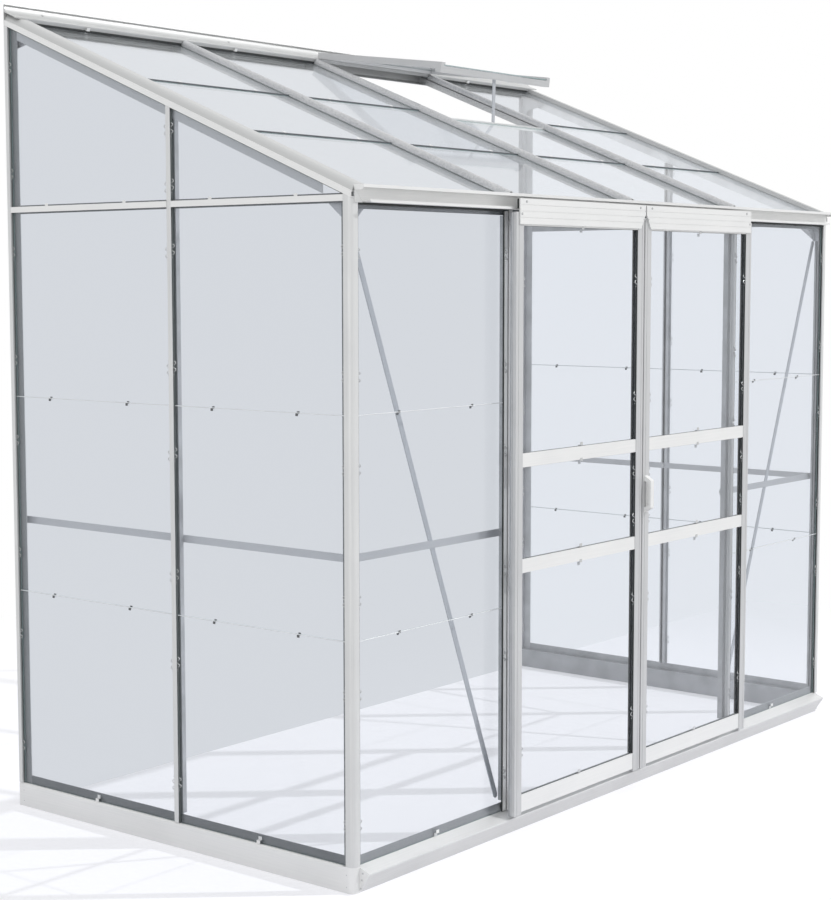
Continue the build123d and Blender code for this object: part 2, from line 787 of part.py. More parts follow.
with BuildPart() as ridge_plate:
    with BuildSketch(Plane.YZ.offset(left_x)):
        with BuildLine():
            Polyline(
                (wall_y, leg_foot),
                (wall_y, flashing_top),
                (wall_y - ridge_lip_width, flashing_top + ridge_lip_rise),
                (wall_y - ridge_lip_width - ridge_plate_thickness / 2, flashing_top),
                (leg_face_y, cove_top_z),
            )
            ThreePointArc((leg_face_y, cove_top_z), cove_middle, (cove_foot_y, cove_foot_z))
            Polyline(
                (cove_foot_y, cove_foot_z),
                roof_point(cover_edge, cover_top),
                roof_point(cover_edge, rafter_cap_rise + joint_gap),
                roof_point(drip_edge, rafter_cap_rise + joint_gap),
                roof_point(drip_edge, ridge_cover_rise),
                (leg_face_y, roof_height(leg_face_y, ridge_cover_rise)),
                (leg_face_y, leg_foot),
                (wall_y, leg_foot),
            )
        make_face()
    extrude(amount=width)
    with BuildSketch(Plane.YZ.offset(-drip_half)):
        with BuildLine():
            Polyline(
                roof_point(drip_edge, ridge_cover_rise + wall),
                roof_point(drip_edge, ridge_drip_rise),
                roof_point(drip_edge + wall, ridge_drip_rise),
                roof_point(drip_edge + wall, ridge_cover_rise + wall),
                roof_point(drip_edge, ridge_cover_rise + wall),
            )
        make_face()
    extrude(amount=2 * drip_half)
    with BuildSketch(Plane.YZ.offset(-shelf_half)):
        with BuildLine():
            Polyline(
                (wall_y, leg_foot + wall),
                (leg_face_y, leg_foot + wall),
                (leg_face_y, roof_height(leg_face_y, shelf_top)),
                roof_point(roof_run - ridge_seat_reach, shelf_top),
                roof_point(roof_run - ridge_seat_reach, shelf_under),
                (leg_face_y, roof_height(leg_face_y, shelf_under)),
                (wall_y, roof_height(leg_face_y, shelf_under)),
                (wall_y, leg_foot + wall),
            )
        make_face()
    extrude(amount=2 * shelf_half)
ridge_plate.part.label = "ridge_plate"
export_step(ridge_plate.part, "parts/ridge_plate.step")

# Roof bars, each with its cap below the edge of the ridge cover
cap_head = cover_edge - joint_gap
with BuildPart() as roof_bars:
    for bar in range(front_bays - 1):
        bar_x = first_bar_x + bar * bay_pitch
        with BuildSketch(roof_plane(bar_x, roof_run + bar_channel_depth)):
            add(roof_bar_section())
        extrude(amount=roof_run + 2 * bar_channel_depth)
        with BuildSketch(roof_plane(bar_x, cap_head)):
            add(roof_cap_section())
        extrude(amount=cap_head + bar_channel_depth)
    split(bisect_by=behind(front_y + joint_gap), keep=Keep.TOP)
    split(bisect_by=before(wall_y - ridge_plate_thickness - joint_gap), keep=Keep.TOP)
roof_bars.part.label = "roof_bars"
export_step(roof_bars.part, "parts/roof_bars.step")

# Glass of the ends, four panes in each of the two bays
pane_foot = base_height + joint_gap
pane_levels = [
    (pane_foot, seam_height_lower - pane_seam_gap / 2),
    (seam_height_lower + pane_seam_gap / 2, seam_height_upper - pane_seam_gap / 2),
    (seam_height_upper + pane_seam_gap / 2, eave_rail_level - bar_web / 2 - pane_edge_gap),
]
top_pane_foot = eave_rail_level + bar_web / 2 + pane_edge_gap
top_pane_rise = top_pane_foot + pane_edge_gap - roof_height(front_y, -rafter_face - pane_edge_gap)
top_pane_setback = top_pane_rise / math.tan(roof_angle)
pane_spans = [
    (front_y + post_size + pane_edge_gap, gable_bar_y - bar_web / 2 - pane_edge_gap),
    (gable_bar_y + bar_web / 2 + pane_edge_gap, wall_y - wall_post_face - pane_edge_gap),
]
with BuildPart() as gable_glass_left:
    with BuildSketch(Plane.YZ.offset(left_x + glass_recess)):
        for start, end in pane_spans:
            for low, high in pane_levels:
                with Locations((start, low)):
                    Rectangle(end - start, high - low, align=(Align.MIN, Align.MIN))
            pane_start = max(start, front_y + top_pane_setback)
            with BuildLine():
                Polyline(
                    (pane_start, top_pane_foot),
                    (end, top_pane_foot),
                    (end, roof_height(end, -rafter_face - pane_edge_gap)),
                    (pane_start, roof_height(pane_start, -rafter_face - pane_edge_gap)),
                    (pane_start, top_pane_foot),
                )
            make_face()
    extrude(amount=glass_thickness)
gable_glass_left.part.label = "gable_glass_left"
export_step(gable_glass_left.part, "parts/gable_glass_left.step")

with BuildPart() as gable_glass_right:
    mirror(gable_glass_left.part, about=Plane.YZ)
gable_glass_right.part.label = "gable_glass_right"
export_step(gable_glass_right.part, "parts/gable_glass_right.step")

# Glass of the fixed front bays, three panes each
front_pane_top = beam_ledge_under - pane_edge_gap
front_pane_width = bay_pitch + end_inset - post_size - bar_web / 2 - 2 * pane_edge_gap
front_pane_levels = [
    (pane_foot, seam_height_lower - pane_seam_gap / 2),
    (seam_height_lower + pane_seam_gap / 2, seam_height_upper - pane_seam_gap / 2),
    (seam_height_upper + pane_seam_gap / 2, front_pane_top),
]
with BuildPart() as front_glass_left:
    with BuildSketch(Plane.XZ.offset(-front_y - glass_recess)):
        for low, high in front_pane_levels:
            with Locations((left_x + post_size + pane_edge_gap, low)):
                Rectangle(front_pane_width, high - low, align=(Align.MIN, Align.MIN))
    extrude(amount=-glass_thickness)
front_glass_left.part.label = "front_glass_left"
export_step(front_glass_left.part, "parts/front_glass_left.step")

with BuildPart() as front_glass_right:
    mirror(front_glass_left.part, about=Plane.YZ)
front_glass_right.part.label = "front_glass_right"
export_step(front_glass_right.part, "parts/front_glass_right.step")

# Roof glass, three panes in each bay and two below the vent
roof_glass_start = joint_gap / math.cos(roof_angle) + roof_glass_rise * math.tan(roof_angle)
roof_glass_end = roof_run - roof_glass_top_setback
full_bay = [
    (roof_glass_start, roof_seam_lower - pane_seam_gap / 2),
    (roof_seam_lower + pane_seam_gap / 2, roof_seam_upper - pane_seam_gap / 2),
    (roof_seam_upper + pane_seam_gap / 2, roof_glass_end),
]
vent_bay = [
    (roof_glass_start, roof_seam_lower - pane_seam_gap / 2),
    (roof_seam_lower + pane_seam_gap / 2, vent_sill_distance - pane_edge_gap),
]
vent_bay_number = 2
roof_glass_y, roof_glass_z = roof_point(0, roof_glass_under)
roof_up = (0, -math.sin(roof_angle), math.cos(roof_angle))
roof_glass_plane = Plane(origin=(0, roof_glass_y, roof_glass_z), x_dir=(1, 0, 0), z_dir=roof_up)
for bay in range(front_bays):
    bay_start = first_bar_x + (bay - 1) * bay_pitch + bar_web / 2 + pane_edge_gap
    bay_end = first_bar_x + bay * bay_pitch - bar_web / 2 - pane_edge_gap
    if bay == 0:
        bay_start = left_x + flange_back + pane_edge_gap
    if bay == front_bays - 1:
        bay_end = -left_x - flange_back - pane_edge_gap
    with BuildPart() as roof_glass:
        with BuildSketch(roof_glass_plane):
            for low, high in vent_bay if bay == vent_bay_number else full_bay:
                with Locations((bay_start, low)):
                    Rectangle(bay_end - bay_start, high - low, align=(Align.MIN, Align.MIN))
        extrude(amount=glass_thickness)
    roof_glass.part.label = f"roof_glass_{bay + 1}"
    export_step(roof_glass.part, f"parts/roof_glass_{bay + 1}.step")

# Roof vent: a sash hinged at the ridge plate, its sill and the stay that props it.
# The glass lies over the front rail, which is set lower than the side rails.
vent_left = first_bar_x + (vent_bay_number - 1) * bay_pitch + vent_side_gap
vent_width = bay_pitch - 2 * vent_side_gap
hinge_y, hinge_z = roof_point(cover_edge + vent_hinge_lap, cover_top + joint_gap)
tilt = roof_angle - math.radians(vent_opening_angle)
vent_up = (0, -math.sin(tilt), math.cos(tilt))
vent_plane = Plane(origin=(vent_left, hinge_y, hinge_z), x_dir=(1, 0, 0), z_dir=vent_up)
vent_glass_level = vent_rail_height / 2
vent_glass_inset = vent_rail_width - door_glass_bite
vent_glass_width = vent_width - 2 * vent_glass_inset
vent_glass_length = vent_length - vent_glass_inset - pane_edge_gap
vent_slot = glass_thickness + 2 * glass_seat_gap
vent_front_start = vent_length - vent_rail_width
with BuildPart() as vent_sash:
    with BuildSketch(vent_plane):
        Rectangle(vent_width, vent_length, align=(Align.MIN, Align.MAX))
        with Locations((vent_rail_width, -vent_rail_width)):
            Rectangle(
                vent_width - 2 * vent_rail_width,
                vent_length - vent_rail_width,
                align=(Align.MIN, Align.MAX),
                mode=Mode.SUBTRACT,
            )
    extrude(amount=vent_rail_height)
    with BuildSketch(vent_plane.offset(vent_glass_level)):
        with Locations((vent_glass_inset - joint_gap, joint_gap - vent_glass_inset)):
            Rectangle(vent_glass_width + 2 * joint_gap, vent_length, align=(Align.MIN, Align.MAX))
    extrude(amount=vent_slot, mode=Mode.SUBTRACT)
    with BuildSketch(vent_plane.offset(-vent_front_drop)):
        with Locations((0, -vent_front_start)):
            Rectangle(vent_width, vent_rail_width, align=(Align.MIN, Align.MAX))
    extrude(amount=vent_front_height)
    with BuildSketch(vent_plane.offset(wall - vent_front_drop)):
        with Locations((wall, -vent_front_start)):
            Rectangle(
                vent_width - 2 * wall,
                vent_rail_width - wall,
                align=(Align.MIN, Align.MAX),
            )
    extrude(amount=vent_front_height - 2 * wall, mode=Mode.SUBTRACT)
vent_sash.part.label = "vent_sash"
export_step(vent_sash.part, "parts/vent_sash.step")

with BuildPart() as vent_glass:
    with BuildSketch(vent_plane.offset(vent_glass_level + glass_seat_gap)):
        with Locations((vent_glass_inset, -vent_glass_inset)):
            Rectangle(vent_glass_width, vent_glass_length, align=(Align.MIN, Align.MAX))
    extrude(amount=glass_thickness)
vent_glass.part.label = "vent_glass"
export_step(vent_glass.part, "parts/vent_glass.step")

sill_start = vent_left - vent_side_gap + bar_flange_width / 2 + joint_gap
vent_sill_top = roof_cap_base + vent_sill_rise
with BuildPart() as vent_sill:
    with BuildSketch(Plane.YZ.offset(sill_start)):
        with BuildLine():
            Polyline(
                roof_point(vent_sill_distance - vent_sill_width, roof_seat),
                roof_point(vent_sill_distance, roof_seat),
                roof_point(vent_sill_distance, vent_sill_top),
                roof_point(vent_sill_distance + flange_thickness, vent_sill_top),
                roof_point(vent_sill_distance + flange_thickness, roof_seat - flange_thickness),
                roof_point(vent_sill_distance - vent_sill_width, roof_seat - flange_thickness),
                roof_point(vent_sill_distance - vent_sill_width, roof_seat),
            )
        make_face()
    extrude(amount=bay_pitch - bar_flange_width - 2 * joint_gap)
vent_sill.part.label = "vent_sill"
export_step(vent_sill.part, "parts/vent_sill.step")

stay_foot_rise = vent_sill_top + joint_gap + vent_stay_thickness / 2 * math.sin(roof_angle)
stay_foot_y, stay_foot_z = roof_point(vent_sill_distance + flange_thickness / 2, stay_foot_rise)
stay_head_s = vent_length - vent_rail_width / 2
stay_head_drop = vent_front_drop + joint_gap + vent_stay_thickness / 2 * math.sin(tilt)
stay_head_y = hinge_y - stay_head_s * math.cos(tilt) + stay_head_drop * math.sin(tilt)
stay_head_z = hinge_z - stay_head_s * math.sin(tilt) - stay_head_drop * math.cos(tilt)
stay_x = vent_left - vent_side_gap + bay_pitch / 2
with BuildPart() as vent_stay:
    with BuildSketch(Plane.YZ.offset(stay_x - vent_stay_width / 2)):
        with BuildLine():
            Polyline(
                (stay_foot_y - vent_stay_thickness / 2, stay_foot_z),
                (stay_foot_y + vent_stay_thickness / 2, stay_foot_z),
                (stay_head_y + vent_stay_thickness / 2, stay_head_z),
                (stay_head_y - vent_stay_thickness / 2, stay_head_z),
                (stay_foot_y - vent_stay_thickness / 2, stay_foot_z),
            )
        make_face()
    extrude(amount=vent_stay_width)
vent_stay.part.label = "vent_stay"
export_step(vent_stay.part, "parts/vent_stay.step")

# Sliding doors. The left door is drawn, and the right one is its mirror image.
door_outer_x = -door_half
door_inner_x = -door_meeting_gap / 2
glass_slot = glass_thickness + 2 * door_glass_gap
slot_depth = door_glass_bite + 2 * door_glass_gap
slot_y = door_face_y + door_glass_setback
with BuildPart() as door_left_stiles:
    with BuildSketch(Plane.XY.offset(door_foot_level)) as stile_section:
        with Locations((door_outer_x, door_face_y)):
            Rectangle(door_stile_width, door_depth, align=(Align.MIN, Align.MIN))
        fillet(stile_section.vertices().group_by(Axis.Y)[0], door_stile_groove)
        with Locations((door_outer_x + door_wall, door_face_y + door_wall)):
            Rectangle(
                door_stile_width - slot_depth - 2 * door_wall,
                door_depth - 2 * door_wall,
                align=(Align.MIN, Align.MIN),
                mode=Mode.SUBTRACT,
            )
        with Locations((door_outer_x + door_stile_width, slot_y)):
            Rectangle(slot_depth, glass_slot, align=(Align.MAX, Align.MIN), mode=Mode.SUBTRACT)
        with Locations((door_outer_x + door_stile_width / 3, door_face_y)):
            Rectangle(
                door_stile_groove,
                door_stile_groove_depth,
                align=(Align.CENTER, Align.MIN),
                mode=Mode.SUBTRACT,
            )
    extrude(amount=door_stile_top - door_foot_level)
    mirror(about=Plane.YZ.offset((door_outer_x + door_inner_x) / 2))
door_left_stiles.part.label = "door_left_stiles"
export_step(door_left_stiles.part, "parts/door_left_stiles.step")

rail_y = door_face_y + door_rail_recess
rail_start_x = door_outer_x + door_stile_width
rail_length = door_inner_x - door_stile_width - rail_start_x
rails = [
    (door_bottom_rail_level, door_bottom_rail_height, False, True),
    (door_lower_rail_level - door_rail_height / 2, door_rail_height, True, True),
    (door_upper_rail_level - door_rail_height / 2, door_rail_height, True, True),
    (door_stile_top - door_top_rail_height, door_top_rail_height, True, False),
]
with BuildPart() as door_left_rails:
    with BuildSketch(Plane.YZ.offset(rail_start_x)):
        for level, height, slot_below, slot_above in rails:
            with Locations((rail_y, level)):
                Rectangle(door_rail_depth, height, align=(Align.MIN, Align.MIN))
            with Locations((rail_y + door_wall, level + slot_depth + door_wall)):
                Rectangle(
                    door_rail_depth - 2 * door_wall,
                    height - 2 * slot_depth - 2 * door_wall,
                    align=(Align.MIN, Align.MIN),
                    mode=Mode.SUBTRACT,
                )
            if slot_above:
                with Locations((slot_y, level + height)):
                    Rectangle(glass_slot, slot_depth, align=(Align.MIN, Align.MAX), mode=Mode.SUBTRACT)
            if slot_below:
                with Locations((slot_y, level)):
                    Rectangle(glass_slot, slot_depth, align=(Align.MIN, Align.MIN), mode=Mode.SUBTRACT)
    extrude(amount=rail_length)
door_left_rails.part.label = "door_left_rails"
export_step(door_left_rails.part, "parts/door_left_rails.step")

door_panes = [
    (rails[index][0] + rails[index][1] - door_glass_bite, rails[index + 1][0] + door_glass_bite)
    for index in range(3)
]
with BuildPart() as door_left_glass:
    with BuildSketch(Plane.XZ.offset(-slot_y - door_glass_gap)):
        for low, high in door_panes:
            with Locations((rail_start_x - door_glass_bite, low)):
                Rectangle(rail_length + 2 * door_glass_bite, high - low, align=(Align.MIN, Align.MIN))
    extrude(amount=-glass_thickness)
door_left_glass.part.label = "door_left_glass"
export_step(door_left_glass.part, "parts/door_left_glass.step")

hanger_start = door_outer_x + hanger_corner_run / 2
hanger_end = door_inner_x
roller_z = track_floor_level + wall + roller_gap + roller_radius
roller_back_y = track_front_y + wall + roller_setback + roller_width
with BuildPart() as door_left_hanger:
    with BuildSketch(Plane.YZ.offset(hanger_start)):
        with Locations((door_face_y, hanger_level)):
            Rectangle(hanger_thickness, hanger_height, align=(Align.MAX, Align.MIN))
        for groove in range(1, 4):
            with Locations((door_face_y - hanger_thickness, hanger_level + groove * hanger_height / 4)):
                Rectangle(
                    hanger_groove,
                    hanger_groove_width,
                    align=(Align.MIN, Align.CENTER),
                    mode=Mode.SUBTRACT,
                )
    extrude(amount=hanger_end - hanger_start)
    with BuildSketch(Plane.XZ.offset(-door_face_y)):
        with BuildLine():
            Polyline(
                (hanger_end, hanger_level),
                (hanger_end, hanger_level + hanger_corner_rise),
                (hanger_end - hanger_corner_run, hanger_level),
                (hanger_end, hanger_level),
            )
        make_face()
    extrude(amount=hanger_thickness, mode=Mode.SUBTRACT)
    for roller_x in (door_outer_x + roller_inset, door_inner_x - roller_inset):
        with BuildSketch(Plane.XZ.offset(-door_face_y)):
            with Locations((roller_x, roller_z)):
                Circle(axle_radius)
        extrude(amount=-(roller_back_y - door_face_y))
        with BuildSketch(Plane.XZ.offset(-roller_back_y + roller_width)):
            with Locations((roller_x, roller_z)):
                Circle(roller_radius)
        extrude(amount=-roller_width)
door_left_hanger.part.label = "door_left_hanger"
export_step(door_left_hanger.part, "parts/door_left_hanger.step")

with BuildPart() as door_right_stiles:
    mirror(door_left_stiles.part, about=Plane.YZ)
door_right_stiles.part.label = "door_right_stiles"
export_step(door_right_stiles.part, "parts/door_right_stiles.step")

with BuildPart() as door_right_rails:
    mirror(door_left_rails.part, about=Plane.YZ)
door_right_rails.part.label = "door_right_rails"
export_step(door_right_rails.part, "parts/door_right_rails.step")

with BuildPart() as door_right_glass:
    mirror(door_left_glass.part, about=Plane.YZ)
door_right_glass.part.label = "door_right_glass"
export_step(door_right_glass.part, "parts/door_right_glass.step")

with BuildPart() as door_right_hanger:
    mirror(door_left_hanger.part, about=Plane.YZ)
door_right_hanger.part.label = "door_right_hanger"
export_step(door_right_hanger.part, "parts/door_right_hanger.step")

# Grip on the meeting stile of the right door
handle_x = -door_inner_x + door_stile_width / 2
handle_foot = handle_level - handle_length / 2
handle_head = handle_level + handle_length / 2
handle_inner_slope = handle_slope + handle_foot_height / 2
handle_front_y = door_face_y - handle_reach
with BuildPart() as door_right_handle:
    with BuildSketch(Plane.YZ.offset(handle_x - handle_width / 2)):
        with BuildLine():
            Polyline(
                (door_face_y, handle_foot),
                (handle_front_y, handle_foot + handle_slope),
                (handle_front_y, handle_head - handle_slope),
                (door_face_y, handle_head),
                (door_face_y, handle_head - handle_foot_height),
                (handle_front_y + handle_grip, handle_head - handle_inner_slope),
                (handle_front_y + handle_grip, handle_foot + handle_inner_slope),
                (door_face_y, handle_foot + handle_foot_height),
                (door_face_y, handle_foot),
            )
        make_face()
    extrude(amount=handle_width)
door_right_handle.part.label = "door_right_handle"
export_step(door_right_handle.part, "parts/door_right_handle.step")
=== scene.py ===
"""Looks of a lean-to glass greenhouse: finishes with painted light and shade, glazing clips, seals, dark
strips of painted shade, fasteners, floor, lamps and camera.
"""

import logging
import math
from collections.abc import Iterable, Sequence
from dataclasses import dataclass, field
from enum import Enum
from itertools import pairwise, product

import bmesh
import bpy
from mathutils import Euler, Matrix, Vector


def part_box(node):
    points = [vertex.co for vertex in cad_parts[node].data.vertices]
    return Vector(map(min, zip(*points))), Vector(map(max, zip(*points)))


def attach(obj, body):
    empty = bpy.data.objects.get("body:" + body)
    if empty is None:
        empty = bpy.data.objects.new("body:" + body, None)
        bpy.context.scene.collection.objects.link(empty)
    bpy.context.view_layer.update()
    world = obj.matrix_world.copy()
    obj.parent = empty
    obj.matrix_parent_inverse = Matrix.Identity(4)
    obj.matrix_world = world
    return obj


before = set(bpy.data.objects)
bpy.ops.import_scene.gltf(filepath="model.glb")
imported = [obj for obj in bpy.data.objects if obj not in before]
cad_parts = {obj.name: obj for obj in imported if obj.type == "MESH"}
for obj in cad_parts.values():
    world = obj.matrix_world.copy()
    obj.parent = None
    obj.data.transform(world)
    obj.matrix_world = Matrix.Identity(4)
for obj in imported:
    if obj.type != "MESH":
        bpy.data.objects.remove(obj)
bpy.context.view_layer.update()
LOG = logging.getLogger("greenhouse")

Color = tuple[float, float, float]
Point = tuple[float, float, float]
Pair = tuple[float, float]
Values = dict[str | int, object]
Socket = bpy.types.NodeSocket
Mesh = bpy.types.Mesh
Material = bpy.types.Material

EAVE_HEIGHT, RIDGE_HEIGHT, ROOF_DEPTH = 1.741, 2.258, 1.285
ROOF_PITCH = math.atan2(RIDGE_HEIGHT - EAVE_HEIGHT, ROOF_DEPTH)
QUARTER_TURN = math.radians(90)
EVEN = (1.0, 1.0, 1.0)
WHITE = (1.0, 1.0, 1.0, 1.0)
ONE_PANE, TWO_PANES = 0.5, 2.5


class Body(Enum):
    """Bodies of the frame that a piece can ride on."""

    FRAME = "frame"
    LEFT_DOOR = "left_door"
    RIGHT_DOOR = "right_door"


class Slot(Enum):
    """Material slots of the record, passed with some pieces."""

    ALUMINIUM = "mill_aluminium"
    PLASTIC = "handle_plastic"


class Run(Enum):
    """Direction in which a profile was drawn, as the stretch of its streaks along X, Y and Z."""

    ALONG_X = (0.015, 1.0, 1.0)
    ALONG_Y = (1.0, 0.015, 1.0)
    ALONG_Z = (1.0, 1.0, 0.015)


class Side(Enum):
    """Left or right half of the building, as the sign of X."""

    LEFT = -1.0
    RIGHT = 1.0

    @property
    def word(self) -> str:
        """Side in node names."""
        return self.name.lower()


class Graph:
    """A node tree with short calls to add and join its nodes."""

    def __init__(self, tree: bpy.types.NodeTree) -> None:
        """Keep the tree to build in."""
        self.tree = tree

    def add(self, kind: str, inputs: Values | None = None, **settings: object) -> bpy.types.Node:
        """Add a node, set its properties, and feed its inputs.

        Args:
            kind: Node type name.
            inputs: Value or source socket for each input, by name or number.
            **settings: Properties of the node.

        Returns:
            The new node.
        """
        node = self.tree.nodes.new(kind)
        for key, value in settings.items():
            setattr(node, key, value)
        for key, value in (inputs or {}).items():
            if isinstance(value, Socket):
                self.tree.links.new(value, node.inputs[key])
            else:
                node.inputs[key].default_value = value
        return node

    def out(self, kind: str, inputs: Values, **settings: object) -> Socket:
        """Add a node and return its first output."""
        return self.add(kind, inputs, **settings).outputs[0]

    def math(self, operation: str, first: object, second: object = 0.0) -> Socket:
        """Add a Math node on two values or sockets and return its output."""
        return self.out("ShaderNodeMath", {0: first, 1: second}, operation=operation)

    def coords(self, kind: str = "Object") -> Socket:
        """Return a socket of a new Texture Coordinate node."""
        return self.add("ShaderNodeTexCoord").outputs[kind]

    def dot(self, first: Socket, axis: Point) -> Socket:
        """Return how far a vector reaches along an axis."""
        return self.add("ShaderNodeVectorMath", {0: first, 1: axis}, operation="DOT_PRODUCT").outputs["Value"]

    def mix(self, share: Socket, first: Socket, second: Socket) -> Socket:
        """Mix two shaders."""
        return self.out("ShaderNodeMixShader", {0: share, 1: first, 2: second})

    def noise(self, stretch: Point, scale: float, detail: float = 3.0) -> Socket:
        """Add a noise on object coordinates, stretched along X, Y and Z."""
        place = self.out("ShaderNodeMapping", {"Vector": self.coords(), "Scale": stretch})
        return self.out("ShaderNodeTexNoise", {"Vector": place, "Scale": scale, "Detail": detail})

    def spread(self, source: Socket, low: float, high: float) -> Socket:
        """Map a noise from its usual 0.3 to 0.7 onto a range."""
        ranges = {"Value": source, "From Min": 0.3, "From Max": 0.7, "To Min": low, "To Max": high}
        return self.out("ShaderNodeMapRange", ranges)

    def tint(self, factor: object, first: object, second: object) -> Socket:
        """Mix two colours or colour sockets by the share of the second."""
        full = [(*value, 1.0) if isinstance(value, tuple) else value for value in (first, second)]
        return self.add("ShaderNodeMix", {0: factor, 6: full[0], 7: full[1]}, data_type="RGBA").outputs[2]

    def grained(self, color: Socket, rough: Socket, grain: Socket, bump: Pair,
                metallic: float = 0.0) -> Socket:
        """Add a shader with a fine bump.

        Args:
            color: Base colour.
            rough: Roughness.
            grain: Height of the bump.
            bump: Strength and distance of the bump.
            metallic: Share of metal.

        Returns:
            The shader socket.
        """
        normal = self.out("ShaderNodeBump", {"Height": grain, "Strength": bump[0], "Distance": bump[1]})
        values = {"Base Color": color, "Metallic": metallic, "Roughness": rough, "Normal": normal}
        return self.out("ShaderNodeBsdfPrincipled", values)


@dataclass(frozen=True)
class Finish:
    """A named material that is built from nodes."""

    name: str

    def surface(self, graph: Graph) -> Socket:
        """Add the nodes and return the shader socket."""
        raise NotImplementedError

    def material(self) -> Material:
        """Build the material.

        Returns:
            The finished material.
        """
        material = bpy.data.materials.new(self.name)
        material.use_nodes = True
        material.node_tree.nodes.clear()
        graph = Graph(material.node_tree)
        graph.add("ShaderNodeOutputMaterial", {0: self.surface(graph)})
        return material


@dataclass(frozen=True)
class Depth:
    """Plane that a part reaches past, as an axis and the distance at which the far side starts."""

    axis: Point
    start: float

    def past(self, graph: Graph) -> Socket:
        """Mask of what lies past the plane."""
        return graph.math("GREATER_THAN", graph.dot(graph.coords(), self.axis), self.start)


@dataclass(frozen=True)
class MetalFinish(Finish):
    """Drawn aluminium or steel, with painted shade on the faces behind the glass, darker painted shade on
    those that face back out where the glass beds, and painted shade on the crown.
    """

    color: Color
    shade: Color
    run: Run = Run.ALONG_Z
    roughness: float = 0.42
    metallic: float = 0.35
    speckle: float = 0.0
    # Painted shade behind the glass: faces past every plane take the inner colour, and those that face back
    # out take the darker glass-bed colour below.
    behind: tuple[Depth, ...] = ()
    inner: Color = (0.40, 0.41, 0.425)
    bedding: Color = (0.15, 0.16, 0.165)
    # Faces above the crown plane get painted shade, darker than the rafter's lit lip.
    above: Depth | None = None
    crown_shade: Color = (0.56, 0.565, 0.56)
    streak_scale: float = 420.0
    cloud_scale: float = 5.0
    speckle_scale: float = 260.0
    shade_mottle_scale: float = 14.0
    cloud_share: float = 0.40
    streak_share: float = 0.28
    shade_mottle_range: Pair = (0.85, 1.15)
    glass_bed_facing: float = -0.7
    gloss_spread: Pair = (-0.06, 0.10)
    bump: Pair = (0.10, 0.0004)

    def film(self, graph: Graph, streaks: Socket) -> Socket:
        """Mix clouds, drawing streaks and speckles into the share of the darker shade.

        Args:
            graph: Graph of the material.
            streaks: Noise along the run.

        Returns:
            The share, from 0 to 1.
        """
        clouds = graph.spread(graph.noise(EVEN, self.cloud_scale, 5.0), 0.0, self.cloud_share)
        share = graph.math("ADD", clouds, graph.spread(streaks, 0.0, self.streak_share))
        if self.speckle:
            grains = graph.noise(EVEN, self.speckle_scale, 2.0)
            share = graph.math("ADD", share, graph.spread(grains, -self.speckle, self.speckle))
        return graph.math("MINIMUM", graph.math("MAXIMUM", share, 0.0), 1.0)

    def inside(self, graph: Graph, color: Socket) -> Socket:
        """Paint shade on the faces behind the glass, with a random mottle, and darker painted shade on those
        that face back out, where the glass beds.

        Args:
            graph: Graph of the material.
            color: Colour of the outer faces.

        Returns:
            The colour socket.
        """
        # Painted shade: a mottled inner colour past the planes, and a darker colour on faces that face back
        # out.
        deep: object = 1.0
        glass_bed_mask: object = 0.0
        for depth in self.behind:
            deep = graph.math("MULTIPLY", deep, depth.past(graph))
            facing = graph.dot(graph.coords("Normal"), depth.axis)
            glass_bed_mask = graph.math("MAXIMUM", glass_bed_mask, graph.math("LESS_THAN", facing, self.glass_bed_facing))
        shade_mottle = graph.spread(graph.noise(EVEN, self.shade_mottle_scale, 4.0), *self.shade_mottle_range)
        painted_inner_shade = graph.out("ShaderNodeVectorMath", {0: self.inner, "Scale": shade_mottle}, operation="SCALE")
        return graph.tint(deep, color, graph.tint(glass_bed_mask, painted_inner_shade, self.bedding))

    def surface(self, graph: Graph) -> Socket:
        """Add the nodes of the metal.

        Args:
            graph: Graph of the material.

        Returns:
            The shader socket.
        """
        streaks = graph.noise(self.run.value, self.streak_scale)
        color = graph.tint(self.film(graph, streaks), self.color, self.shade)
        # Painted shade on the rafter crown.
        if self.above:
            color = graph.tint(self.above.past(graph), color, self.crown_shade)
        if self.behind:
            color = self.inside(graph, color)
        rough = graph.spread(streaks, *(self.roughness + part for part in self.gloss_spread))
        return graph.grained(color, rough, streaks, self.bump, self.metallic)


@dataclass(frozen=True)
class SolidFinish(Finish):
    """Moulded plastic or rubber with a fine grain."""

    color: Color
    roughness: float
    grain_scale: float = 700.0
    cloud_scale: float = 9.0
    darkest: float = 0.88
    gloss_spread: Pair = (-0.05, 0.08)
    bump: Pair = (0.10, 0.0003)

    def surface(self, graph: Graph) -> Socket:
        """Add the nodes of the grain and its clouds.

        Args:
            graph: Graph of the material.

        Returns:
            The shader socket.
        """
        grain = graph.noise(EVEN, self.grain_scale)
        clouds = graph.noise(EVEN, self.cloud_scale, 4.0)
        darker = tuple(channel * self.darkest for channel in self.color)
        color = graph.tint(graph.spread(clouds, 0.0, 1.0), self.color, darker)
        rough = graph.spread(grain, *(self.roughness + part for part in self.gloss_spread))
        return graph.grained(color, rough, grain, self.bump)


